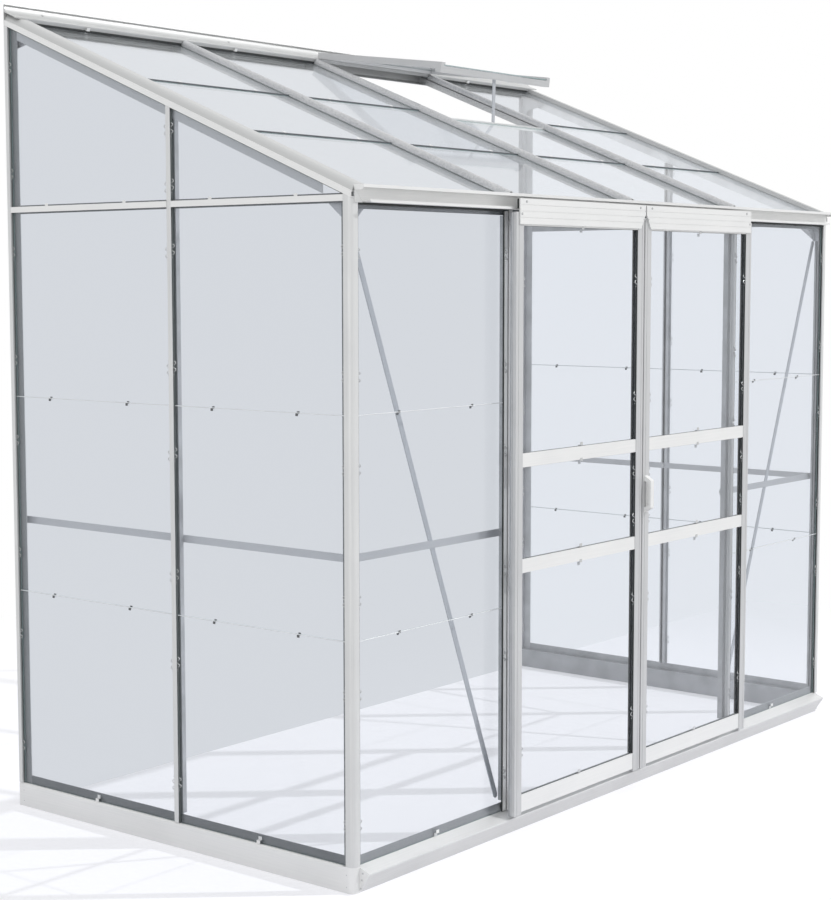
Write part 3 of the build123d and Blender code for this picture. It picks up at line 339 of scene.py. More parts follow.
@dataclass(frozen=True)
class GlassFinish(Finish):
    """Clear sheet glass: see-through faces with a thin reflection and dust, and darker green edges."""

    axis: Point
    tint: Color = (0.965, 0.972, 0.980)
    edge: Color = (0.36, 0.47, 0.46)
    edge_roughness: float = 0.22
    edge_alpha: float = 0.75
    haze_color: Color = (0.80, 0.84, 0.90)
    haze: float = 0.006
    haze_spread: Pair = (0.7, 1.3)
    mirror: float = 0.75
    straight_mirror: float = 0.04
    smear_stretch: Point = (1.0, 1.0, 0.35)
    smear_scale: float = 7.0
    gloss: Pair = (0.015, 0.06)
    edge_facing: float = 0.5

    def surface(self, graph: Graph) -> Socket:
        """Add the nodes of the sheet and its cut edges.

        Args:
            graph: Graph of the material.

        Returns:
            The shader socket.
        """
        smears = graph.noise(self.smear_stretch, self.smear_scale, 5.0)
        clear = graph.out("ShaderNodeBsdfTransparent", {"Color": (*self.tint, 1.0)})
        rough = graph.spread(smears, *self.gloss)
        gloss = graph.out("ShaderNodeBsdfGlossy", {"Color": WHITE, "Roughness": rough})
        facing = graph.add("ShaderNodeLayerWeight", {"Blend": 0.5}).outputs["Facing"]
        grazing = graph.math("MULTIPLY", graph.math("POWER", facing, 5.0), 1.0 - self.straight_mirror)
        shine = graph.math("MULTIPLY", graph.math("ADD", grazing, self.straight_mirror), self.mirror)
        dust = graph.out("ShaderNodeBsdfDiffuse", {"Color": (*self.haze_color, 1.0)})
        dusty = graph.spread(smears, *(self.haze * part for part in self.haze_spread))
        face = graph.mix(dusty, graph.mix(shine, clear, gloss), dust)
        values = {"Base Color": (*self.edge, 1.0), "Roughness": self.edge_roughness, "Alpha": self.edge_alpha}
        cut = graph.out("ShaderNodeBsdfPrincipled", values)
        square = graph.math("ABSOLUTE", graph.dot(graph.coords("Normal"), self.axis))
        return graph.mix(graph.math("LESS_THAN", square, self.edge_facing), face, cut)


# Tone pairs of the one mill aluminium, each a colour and its darker random tone. The parts differ in
# lightness as painted light and shade: the lit tones go on rails, base ends, rafters and gutter, and painted
# shade on uprights, door stiles, sill, ridge, vent, roof bars, inner rails and braces. Steel and zinc are
# other metals.
LIT_TONES = ((0.84, 0.84, 0.83), (0.74, 0.745, 0.745))
SHADED_TONES = ((0.72, 0.725, 0.72), (0.58, 0.585, 0.59))
STILE = ((0.62, 0.625, 0.63), (0.50, 0.505, 0.51))
SILL = ((0.78, 0.78, 0.775), (0.66, 0.665, 0.665))
RIDGE = ((0.62, 0.625, 0.62), (0.46, 0.465, 0.46))
ROOF_BAR_SHADED_TONES = ((0.62, 0.625, 0.63), (0.40, 0.41, 0.42))
VENT = ((0.62, 0.625, 0.63), (0.46, 0.465, 0.47))
INNER = ((0.56, 0.57, 0.59), (0.44, 0.45, 0.47))
BRACE = ((0.52, 0.54, 0.57), (0.40, 0.42, 0.45))
STEEL = ((0.62, 0.63, 0.63), (0.42, 0.43, 0.44))
ZINC = ((0.86, 0.86, 0.85), (0.70, 0.70, 0.70))


class Finishes:
    """Every material of the scene, built once."""

    def __init__(self, lay: "Layout") -> None:
        """Build the materials.

        Args:
            lay: Main lines of the building.
        """
        across, along = Run.ALONG_X, Run.ALONG_Y
        # Planes past which faces get painted shade.
        front = Depth((0.0, 1.0, 0.0), lay.front + lay.bedding)
        door = Depth((0.0, 1.0, 0.0), lay.door_face + lay.bedding)
        slope = Vector((0.0, math.sin(ROOF_PITCH), -math.cos(ROOF_PITCH)))
        eave = Vector((0.0, lay.front, lay.eave)).dot(slope)
        roof = Depth(tuple(slope), eave + lay.roof_bedding)
        crown_shade = Depth(tuple(-slope), lay.crown_rise - eave)
        # Each end's parts get lit or painted-shade tones, painted shade behind the glass, and painted shade
        # on the rafter crown.
        self.end: dict[Side, dict[str, Material]] = {}
        for side in Side:
            past = Depth((-side.value, 0.0, 0.0), lay.left + lay.bedding)
            kinds = {
                "corner": (SHADED_TONES, Run.ALONG_Z, {"behind": (past, front)}),
                "upright": (SHADED_TONES, Run.ALONG_Z, {
                    "behind": (past,), "inner": (0.50, 0.51, 0.525), "bedding": (0.24, 0.25, 0.255)}),
                "base": (LIT_TONES, along, {"behind": (past,)}),
                "rafter": (LIT_TONES, along, {
                    "behind": (past, roof), "inner": (0.90, 0.91, 0.92), "bedding": (0.50, 0.51, 0.52),
                    "above": crown_shade}),
            }
            self.end[side] = {
                kind: self.metal(f"{kind}_{side.word}", tones, run, **more)
                for kind, (tones, run, more) in kinds.items()
            }
        metal = self.metal
        self.front_upright = metal("front_upright", SHADED_TONES, behind=(front,), inner=(0.44, 0.45, 0.46),
                                   bedding=(0.50, 0.51, 0.52))
        self.sill = metal("sill", SILL, across, behind=(front,), inner=(0.56, 0.57, 0.58),
                          bedding=(0.30, 0.31, 0.32))
        self.gutter = metal("gutter", LIT_TONES, across, behind=(front,), inner=(0.66, 0.67, 0.68),
                            bedding=(0.20, 0.21, 0.22))
        self.door_upright = metal("door_upright", STILE, behind=(door,))
        self.door_across = metal("door_across", LIT_TONES, across, behind=(door,))
        self.stile = metal("stile", STILE)
        self.upright = metal("upright", SHADED_TONES)
        self.across = metal("across", LIT_TONES, across)
        self.ridge = metal("ridge", RIDGE, across)
        # Roof bars: darker tones as painted shade, with a random speckle.
        self.roof_bar = metal("weathered_and_shaded", ROOF_BAR_SHADED_TONES, along, roughness=0.5, speckle=0.45)
        self.vent = metal("vent", VENT, across, roughness=0.45)
        self.inner = metal("inner", INNER, across, roughness=0.45)
        self.brace = metal("brace", BRACE, roughness=0.45)
        self.steel = MetalFinish("spring_steel", *STEEL, roughness=0.28, metallic=0.8).material()
        self.clip = MetalFinish("clip_zinc", *ZINC, roughness=0.35, metallic=0.3).material()
        self.rubber = SolidFinish("black_rubber", (0.022, 0.025, 0.026), 0.6).material()
        self.gasket = SolidFinish("grey_gasket", (0.12, 0.135, 0.135), 0.55).material()
        self.seam = SolidFinish("seam_strip", (0.80, 0.82, 0.84), 0.35).material()
        self.seam_tab = SolidFinish("seam_tab", (0.10, 0.105, 0.11), 0.45).material()
        # Dark bead along each roof pane lap.
        self.roof_seam = SolidFinish("roof_lap_dark_bead", (0.10, 0.11, 0.12), 0.5).material()
        self.plastic = SolidFinish("handle_white", (0.84, 0.84, 0.83), 0.38).material()
        self.front_glass = GlassFinish("glass_front", (0.0, 1.0, 0.0)).material()
        self.end_glass = GlassFinish("glass_end", (1.0, 0.0, 0.0)).material()
        self.roof_glass = GlassFinish(
            "glass_roof", tuple(-slope), haze=0.04, haze_color=(0.84, 0.87, 0.87), mirror=0.5
        ).material()

    @staticmethod
    def metal(name: str, tones: tuple[Color, Color], run: Run = Run.ALONG_Z, **more: object) -> Material:
        """Build an aluminium of two tones, drawn along a direction."""
        return MetalFinish(f"aluminium_{name}", *tones, run, **more).material()


@dataclass(frozen=True)
class Layout:
    """Places of the building's main lines, in metres, read from the frame or named here."""

    left: float
    front: float
    wall: float
    eave: float = EAVE_HEIGHT
    post: float = 0.026
    wall_post: float = 0.014
    bay: float = 0.610
    bar_half: float = 0.008
    base_top: float = 0.068
    lower_seam: float = 0.636
    upper_seam: float = 1.197
    end_rail: float = 1.726
    track_floor: float = 1.715
    gable_bar: float = 0.0205
    roof_lower_seam: float = 0.441
    roof_upper_seam: float = 0.860
    roof_glass_rise: float = 0.004
    rafter_reach: float = 0.046
    rafter_lip: float = 0.014
    roof_cap_half: float = 0.012
    vent_bay: int = 2
    # Depths past the outer planes where the glass beds; faces past them get painted shade.
    bedding: float = 0.0095
    roof_bedding: float = 0.0015
    # Height square to the roof slope at which the painted shade on the rafter crown begins.
    crown_rise: float = 0.001
    door_gap: float = 0.044

    @classmethod
    def from_frame(cls) -> "Layout":
        """Read the outer planes from the frame's nodes.

        Returns:
            The layout.
        """
        post_low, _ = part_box("corner_post_left")
        _, wall_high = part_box("wall_post_left")
        return cls(left=post_low.x, front=post_low.y, wall=wall_high.y)

    @property
    def door_face(self) -> float:
        """Outer plane of the doors."""
        return self.front - self.door_gap

    @property
    def run(self) -> float:
        """Length of the roof slope from the eave to the wall."""
        return (self.wall - self.front) / math.cos(ROOF_PITCH)

    @property
    def roof_bays(self) -> list[Pair]:
        """Lowest and highest X of each roof bay, between the middles of its bars."""
        edge = -self.left - self.rafter_reach
        return list(pairwise((-edge, -self.bay, 0.0, self.bay, edge)))

    def end(self, side: Side, depth: float) -> float:
        """Find the X of a plane at a depth inside an end."""
        return side.value * (-self.left - depth)

    def roof(self, x: float, distance: float, rise: float) -> Vector:
        """Find a point by its distance up the roof slope and its height square to the slope.

        Args:
            x: Place along the front.
            distance: Distance up the slope from the eave.
            rise: Height square to the slope.

        Returns:
            The point.
        """
        along_y = distance * math.cos(ROOF_PITCH) - rise * math.sin(ROOF_PITCH)
        along_z = distance * math.sin(ROOF_PITCH) + rise * math.cos(ROOF_PITCH)
        return Vector((x, self.front + along_y, self.eave + along_z))

    def rafter_under(self, y: float) -> float:
        """Find the height of the end rafter's lower edge at a place along Y."""
        return self.eave + (y - self.front) * math.tan(ROOF_PITCH) - self.rafter_lip / math.cos(ROOF_PITCH)


FACE_FRONT = Euler((QUARTER_TURN, 0.0, 0.0))
FACE_BACK = Euler((-QUARTER_TURN, 0.0, 0.0))
STANDING_FRONT = Euler((0.0, 0.0, 0.0))
STANDING_END = Euler((0.0, 0.0, QUARTER_TURN))
ON_ROOF = Euler((ROOF_PITCH, 0.0, 0.0))
ACROSS_ROOF = Euler((ROOF_PITCH - QUARTER_TURN, 0.0, 0.0))


def facing(sign: float) -> Euler:
    """Turn a part to face right for 1, or left for -1."""
    return Euler((0.0, sign * QUARTER_TURN, 0.0))


def between(start: float, stop: float, shares: Iterable[float]) -> list[float]:
    """List the places at some shares of the way from start to stop."""
    return [start + share * (stop - start) for share in shares]


def line_mesh(name: str, points: Iterable[Iterable[float]], edges: Sequence[tuple[int, int]] = ()) -> Mesh:
    """Write points and edges as a mesh.

    Args:
        name: Name of the mesh.
        points: Its vertices.
        edges: Pairs of vertex numbers.

    Returns:
        The mesh.
    """
    mesh = bpy.data.meshes.new(name)
    mesh.from_pydata([tuple(point) for point in points], edges, [])
    return mesh


def link(name: str, data: bpy.types.ID) -> bpy.types.Object:
    """Put new data into the scene.

    Args:
        name: Name of the object.
        data: Its mesh, camera or lamp.

    Returns:
        The object.
    """
    thing = bpy.data.objects.new(name, data)
    bpy.context.scene.collection.objects.link(thing)
    return thing


def piece(name: str, mesh: Mesh, material: Material, body: Body = Body.FRAME,
          slot: Slot = Slot.ALUMINIUM) -> None:
    """Make a mesh a piece that rides on a body.

    Args:
        name: Name of the piece.
        mesh: Its mesh, in place.
        material: Its finish.
        body: Body it rides on.
        slot: Record slot of its finish; not used.
    """
    mesh.materials.clear()
    mesh.materials.append(material)
    thing = link(name, mesh)
    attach(thing, body.value)
    LOG.info("piece %s on %s: %d faces", name, body.value, len(mesh.polygons))


def finish_nodes(materials: dict[str, Material]) -> None:
    """Give nodes of the frame their finishes.

    Args:
        materials: Finish of each node, by name.
    """
    for name, material in materials.items():
        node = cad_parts[name]
        node.data.materials.clear()
        node.data.materials.append(material)
        LOG.info("node %s: %s", name, material.name)


@dataclass
class Places:
    """Points with a turn and a size each, on which a small part is repeated."""

    points: list[Vector] = field(default_factory=list)
    turns: list[Euler] = field(default_factory=list)
    sizes: list[Point] = field(default_factory=list)

    def put(self, point: Iterable[float], turn: Euler, size: Point = EVEN) -> None:
        """Add a place.

        Args:
            point: Where it is.
            turn: How the part is turned there.
            size: Scale of the part there.
        """
        self.points.append(Vector(point))
        self.turns.append(turn)
        self.sizes.append(size)

    def strip(self, first: Iterable[float], last: Iterable[float], width: float, depth: float) -> None:
        """Add a strip that runs from one point to another.

        Args:
            first: One end.
            last: Other end.
            width: Its size across, along X, or along Z for a strip that runs along X.
            depth: Its size along Y, or along X for a strip that runs from front to wall.
        """
        start, stop = Vector(first), Vector(last)
        run = stop - start
        if abs(run.z) > abs(run.x) and abs(run.z) > abs(run.y):
            turn = STANDING_FRONT
        elif abs(run.x) > abs(run.y):
            turn = facing(1.0)
        else:
            turn = Euler((-math.atan2(run.y, run.z), 0.0, 0.0))
        self.put((start + stop) / 2, turn, (width, depth, run.length))

    def mesh(self, name: str) -> Mesh:
        """Write the places as loose vertices that carry their turns and sizes.

        Args:
            name: Name of the mesh.

        Returns:
            The mesh.
        """
        mesh = line_mesh(name, self.points)
        for label, values in (("turn", self.turns), ("size", self.sizes)):
            attribute = mesh.attributes.new(label, "FLOAT_VECTOR", "POINT")
            for item, value in zip(attribute.data, values, strict=True):
                item.vector = tuple(value)
        return mesh


@dataclass
class Paths:
    """Lines that a bead follows."""

    points: list[Vector] = field(default_factory=list)
    edges: list[tuple[int, int]] = field(default_factory=list)

    def line(self, first: Iterable[float], last: Iterable[float]) -> None:
        """Add a line between two points."""
        self.edges.append((len(self.points), len(self.points) + 1))
        self.points += [Vector(first), Vector(last)]

    def mesh(self, name: str) -> Mesh:
        """Write the lines as edges."""
        return line_mesh(name, self.points, self.edges)


class Plates:
    """Flat plates with softened edges, gathered into one mesh."""

    soften = 0.0004

    def __init__(self) -> None:
        """Start without plates."""
        self.work = bmesh.new()

    def push(self, outline: Sequence[Iterable[float]], along: Iterable[float]) -> None:
        """Push a flat outline into a closed plate.

        Args:
            outline: Corners of one face, in order.
            along: Direction and length of the push.
        """
        plate, shift = bmesh.new(), Vector(along)
        near = [plate.verts.new(Vector(corner)) for corner in outline]
        far = [plate.verts.new(Vector(corner) + shift) for corner in outline]
        plate.faces.new(near)
        plate.faces.new(far)
        rims = list(zip(near, far, strict=True))
        for (first, first_far), (last, last_far) in pairwise((*rims, rims[0])):
            plate.faces.new((first, last, last_far, first_far))
        bmesh.ops.recalc_face_normals(plate, faces=plate.faces[:])
        bmesh.ops.bevel(plate, geom=plate.edges[:], offset=self.soften, segments=1, affect="EDGES")
        mesh = bpy.data.meshes.new("plate")
        plate.to_mesh(mesh)
        plate.free()
        self.work.from_mesh(mesh)
        bpy.data.meshes.remove(mesh)

    def block(self, low: Iterable[float], high: Iterable[float]) -> None:
        """Add a block between its lowest and its highest corner."""
        (x0, y0, z0), (x1, y1, z1) = low, high
        self.push([(x0, y0, z0), (x1, y0, z0), (x1, y1, z0), (x0, y1, z0)], (0.0, 0.0, z1 - z0))

    def mesh(self, name: str) -> Mesh:
        """Write the plates as a mesh.

        Args:
            name: Name of the mesh.

        Returns:
            The mesh.
        """
        mesh = bpy.data.meshes.new(name)
        self.work.to_mesh(mesh)
        self.work.free()
        return mesh


class GrowTree:
    """A Geometry Nodes tree that grows parts on places or along paths."""

    inputs: tuple[str, ...] = ()

    def __init__(self, name: str) -> None:
        """Make the tree with its sockets.

        Args:
            name: Name of the tree.
        """
        self.tree = bpy.data.node_groups.new(name, "GeometryNodeTree")
        kinds = [(label, "Int" if label == "Sides" else "Float") for label in self.inputs]
        for label, kind in (("Geometry", "Geometry"), *kinds, ("Material", "Material")):
            self.tree.interface.new_socket(label, in_out="INPUT", socket_type=f"NodeSocket{kind}")
        self.tree.interface.new_socket("Geometry", in_out="OUTPUT", socket_type="NodeSocketGeometry")
        self.graph = Graph(self.tree)
        self.source = self.graph.add("NodeGroupInput").outputs
        real = self.graph.out("GeometryNodeRealizeInstances", {0: self.build()})
        values = {"Geometry": real, "Material": self.source["Material"]}
        self.graph.add("NodeGroupOutput", {0: self.graph.out("GeometryNodeSetMaterial", values)})

    def build(self) -> Socket:
        """Add the nodes that make the geometry and return its socket."""
        raise NotImplementedError

    def joined(self, *parts: Socket) -> Socket:
        """Join geometries.

        Args:
            *parts: Geometry sockets.

        Returns:
            The joined geometry.
        """
        node = self.graph.add("GeometryNodeJoinGeometry")
        for part in parts:
            self.tree.links.new(part, node.inputs[0])
        return node.outputs[0]

    def on_places(self, part: Socket) -> Socket:
        """Set a part on every place, turned and scaled as the place says.

        Args:
            part: Geometry of the part.

        Returns:
            The instances.
        """
        turn, size = (
            self.graph.out("GeometryNodeInputNamedAttribute", {"Name": name}, data_type="FLOAT_VECTOR")
            for name in ("turn", "size")
        )
        rotation = self.graph.out("FunctionNodeEulerToRotation", {0: turn})
        values = {"Points": self.source["Geometry"], "Instance": part, "Rotation": rotation, "Scale": size}
        return self.graph.out("GeometryNodeInstanceOnPoints", values)

    def moved(self, part: Socket, shift: Socket, scale: Point = EVEN) -> Socket:
        """Scale a part and move it."""
        values = {"Geometry": part, "Translation": shift, "Scale": scale}
        return self.graph.out("GeometryNodeTransform", values)

    def vector(self, x: object = 0.0, y: object = 0.0, z: object = 0.0) -> Socket:
        """Combine three values or sockets into a vector."""
        return self.graph.out("ShaderNodeCombineXYZ", {0: x, 1: y, 2: z})

    def cylinder(self, sides: object, radius: object, depth: object) -> Socket:
        """Add an upright cylinder."""
        values = {"Vertices": sides, "Radius": radius, "Depth": depth}
        return self.graph.out("GeometryNodeMeshCylinder", values)

    def swept(self, line: Socket, radius: Socket, sides: object) -> Socket:
        """Sweep a round section along a line.

        Args:
            line: Mesh of the line.
            radius: Radius of the section.
            sides: Sides of the section.

        Returns:
            The swept geometry.
        """
        curve = self.graph.out("GeometryNodeMeshToCurve", {0: line})
        ring = self.graph.out("GeometryNodeCurvePrimitiveCircle", {"Resolution": sides, "Radius": radius})
        values = {"Curve": curve, "Profile Curve": ring, "Fill Caps": True}
        return self.graph.out("GeometryNodeCurveToMesh", values)

    def grow(self, name: str, seed: Places | Paths, sizes: dict[str, float | int], material: Material,
             body: Body = Body.FRAME) -> None:
        """Grow the parts and keep them as a plain mesh that rides on a body.

        Args:
            name: Name of the piece.
            seed: Places or paths to grow on.
            sizes: Value of each named input.
            material: Finish of the piece.
            body: Body it rides on.
        """
        carrier = link(name + "_seed", seed.mesh(name + "_seed"))
        modifier = carrier.modifiers.new("grow", "NODES")
        modifier.node_group = self.tree
        values = {**sizes, "Material": material}
        for item in self.tree.interface.items_tree:
            if item.name in values:
                modifier[item.identifier] = values[item.name]
        graph = bpy.context.evaluated_depsgraph_get()
        mesh = bpy.data.meshes.new_from_object(carrier.evaluated_get(graph))
        mesh.name = name
        carrier.modifiers.remove(modifier)
        bpy.data.objects.remove(carrier)
        piece(name, mesh, material, body)


class FastenerTree(GrowTree):
    """Domed screw, rivet or hexagon nut on a washer."""

    inputs = ("Head radius", "Head height", "Washer radius", "Washer height", "Sides")
    dome_share = 0.82
    dome_flat = (1.0, 1.0, 0.22)
    washer_sides = 20

    def build(self) -> Socket:
        """Add the nodes of a head, its dome and its washer.

        Returns:
            The geometry socket.
        """
        graph, source = self.graph, self.source
        radius, height = source["Head radius"], source["Head height"]
        flat = self.cylinder(source["Sides"], radius, height)
        ball = {"Segments": 12, "Rings": 6, "Radius": graph.math("MULTIPLY", radius, self.dome_share)}
        dome = graph.out("GeometryNodeMeshUVSphere", ball)
        washer = self.cylinder(self.washer_sides, source["Washer radius"], source["Washer height"])
        head = self.moved(flat, self.vector(z=graph.math("MULTIPLY", height, 0.5)))
        cap = self.moved(dome, self.vector(z=height), self.dome_flat)
        return self.on_places(self.joined(head, cap, washer))


class WireClipTree(GrowTree):
    """Bent spring wire that presses a pane against its bar."""

    inputs = ("Length", "Width", "Wire", "Bends")
    stops = 17
    wire_sides = 6

    def build(self) -> Socket:
        """Add the nodes of a waved wire.

        Returns:
            The geometry socket.
        """
        graph, source, gaps = self.graph, self.source, self.stops - 1
        step = self.vector(z=graph.math("DIVIDE", source["Length"], gaps))
        line = graph.out("GeometryNodeMeshLine", {"Count": self.stops, "Offset": step})
        index = graph.add("GeometryNodeInputIndex").outputs[0]
        phase = graph.math("MULTIPLY", graph.math("MULTIPLY", index, source["Bends"]), math.pi / gaps)
        sway = graph.math("MULTIPLY", graph.math("SINE", phase), graph.math("MULTIPLY", source["Width"], 0.5))
        lift = graph.math("MULTIPLY", graph.math("COSINE", phase), source["Wire"])
        drop = graph.math("MULTIPLY", source["Length"], -0.5)
        values = {"Geometry": line, "Offset": self.vector(sway, lift, drop)}
        bent = graph.out("GeometryNodeSetPosition", values)
        return self.on_places(self.swept(bent, source["Wire"], self.wire_sides))


class SeamClipTree(GrowTree):
    """Folded tab that hangs one pane on the edge of the pane below."""

    inputs = ("Width", "Height", "Reach", "Sheet")

    def build(self) -> Socket:
        """Add the nodes of two leaves and the web between them.

        Returns:
            The geometry socket.
        """
        graph, vector = self.graph, self.vector
        width, height, reach, sheet = (self.source[label] for label in self.inputs)
        leaf = graph.out("GeometryNodeMeshCube", {"Size": vector(width, sheet, height)})
        web = graph.out("GeometryNodeMeshCube", {"Size": vector(width, reach, sheet)})
        up, down = (graph.math("MULTIPLY", height, share) for share in (0.5, -0.5))
        inward, outward = (graph.math("MULTIPLY", reach, share) for share in (0.5, -0.5))
        outer = self.moved(leaf, vector(y=outward, z=up))
        inner = self.moved(leaf, vector(y=inward, z=down))
        return self.on_places(self.joined(outer, inner, web))


class BeadTree(GrowTree):
    """Round bead, such as a seam strip, along paths."""

    inputs = ("Radius", "Sides")

    def build(self) -> Socket:
        """Add the nodes of a bead along each path."""
        return self.swept(self.source["Geometry"], self.source["Radius"], self.source["Sides"])


class StripTree(GrowTree):
    """Moulded strip with a rounded section, of the size that each place gives."""

    inputs = ("Sides",)

    def build(self) -> Socket:
        """Add the nodes of a strip of unit size on each place."""
        return self.on_places(self.cylinder(self.source["Sides"], 0.5, 1.0))


FASTENER = FastenerTree.inputs
SCREW = dict(zip(FASTENER, (0.0035, 0.0012, 0.0, 0.0, 16), strict=True))
RIVET = dict(zip(FASTENER, (0.0040, 0.0010, 0.0, 0.0, 14), strict=True))
NUT = dict(zip(FASTENER, (0.0055, 0.0045, 0.0075, 0.0012, 6), strict=True))
WIRE = {"Length": 0.036, "Width": 0.012, "Wire": 0.0011, "Bends": 4.0}
DOT = {"Width": 0.008, "Height": 0.006, "Reach": 0.006, "Sheet": 0.0012}
TAB = {"Width": 0.012, "Height": 0.009, "Reach": 0.007, "Sheet": 0.0009}
ROUND = {"Sides": 10}
SEAM = {"Radius": 0.0012, "Sides": 8}
LAP = {"Radius": 0.0021, "Sides": 8}


class Kit:
    """Growing trees and finishes that the sub-assemblies share."""

    def __init__(self, layout: Layout) -> None:
        """Build the shared trees and finishes.

        Args:
            layout: Main lines of the building.
        """
        self.layout = layout
        self.finishes = Finishes(layout)
        self.fastener = FastenerTree("grow_fasteners")
        self.wire_clip = WireClipTree("grow_wire_clips")
        self.seam_clip = SeamClipTree("grow_seam_clips")
        self.bead = BeadTree("grow_beads")
        self.strip = StripTree("grow_strips")


@dataclass
class Assembly:
    """Group of nodes that gets its finishes and its small pieces."""

    kit: Kit

    @property
    def lay(self) -> Layout:
        """Main lines of the building."""
        return self.kit.layout

    @property
    def finishes(self) -> Finishes:
        """Finishes of the scene."""
        return self.kit.finishes


@dataclass
class Base(Assembly):
    """Low base under the glass, with its corner blocks, end caps, screws and bottom glazing clips."""

    screw_levels: Sequence[float] = (0.016, 0.047)
    cap_screws: Sequence[Pair] = ((-0.010, 0.052), (-0.007, 0.034), (-0.004, 0.012))
    cap_screw_size: Point = (0.75, 0.75, 0.75)
    front_inset: float = 0.0235
    wall_inset: float = 0.0195
    screw_sunk: float = 0.0017
    block_width: float = 0.0242
    cap_sheet: float = 0.0016
    tab_depth: float = 0.006
    tab_rise: float = 0.009
    sill_outline: Sequence[Pair] = ((0.0030, 0.0), (-0.0306, 0.0496), (-0.0306, 0.0544), (0.0030, 0.0670))

    def dress(self) -> None:
        """Finish the nodes and add caps, fasteners and clips."""
        finishes, lay = self.finishes, self.lay
        finish_nodes({
            "base_front": finishes.sill,
            "base_left": finishes.end[Side.LEFT]["base"],
            "base_right": finishes.end[Side.RIGHT]["base"],
            "base_corners": finishes.across,
        })
        screws, caps, tabs = Places(), Plates(), Places()
        tab_level = lay.base_top + self.tab_rise
        for side in Side:
            face, cap_x = facing(side.value), lay.end(side, self.block_width)
            for level in self.screw_levels:
                for y in (lay.front + self.front_inset, lay.wall - self.wall_inset):
                    screws.put((lay.end(side, self.screw_sunk), y, level), face)
            outline = [(cap_x, lay.front + y, z) for y, z in self.sill_outline]
            caps.push(outline, (-side.value * self.cap_sheet, 0.0, 0.0))
            for y, z in self.cap_screws:
                screws.put((cap_x, lay.front + y, z), face, self.cap_screw_size)
            for start, stop in pairwise((lay.front + lay.post, lay.gable_bar, lay.wall - lay.wall_post)):
                tabs.put((lay.end(side, self.tab_depth), (start + stop) / 2, tab_level), STANDING_END)
            middle = side.value * (lay.bay - lay.left - lay.post) / 2
            tabs.put((middle, lay.front + self.tab_depth, tab_level), STANDING_FRONT)
        self.kit.fastener.grow("base_screws", screws, SCREW, finishes.steel)
        piece("base_end_caps", caps.mesh("base_end_caps"), finishes.across)
        self.kit.seam_clip.grow("base_glazing_clips", tabs, TAB, finishes.clip)


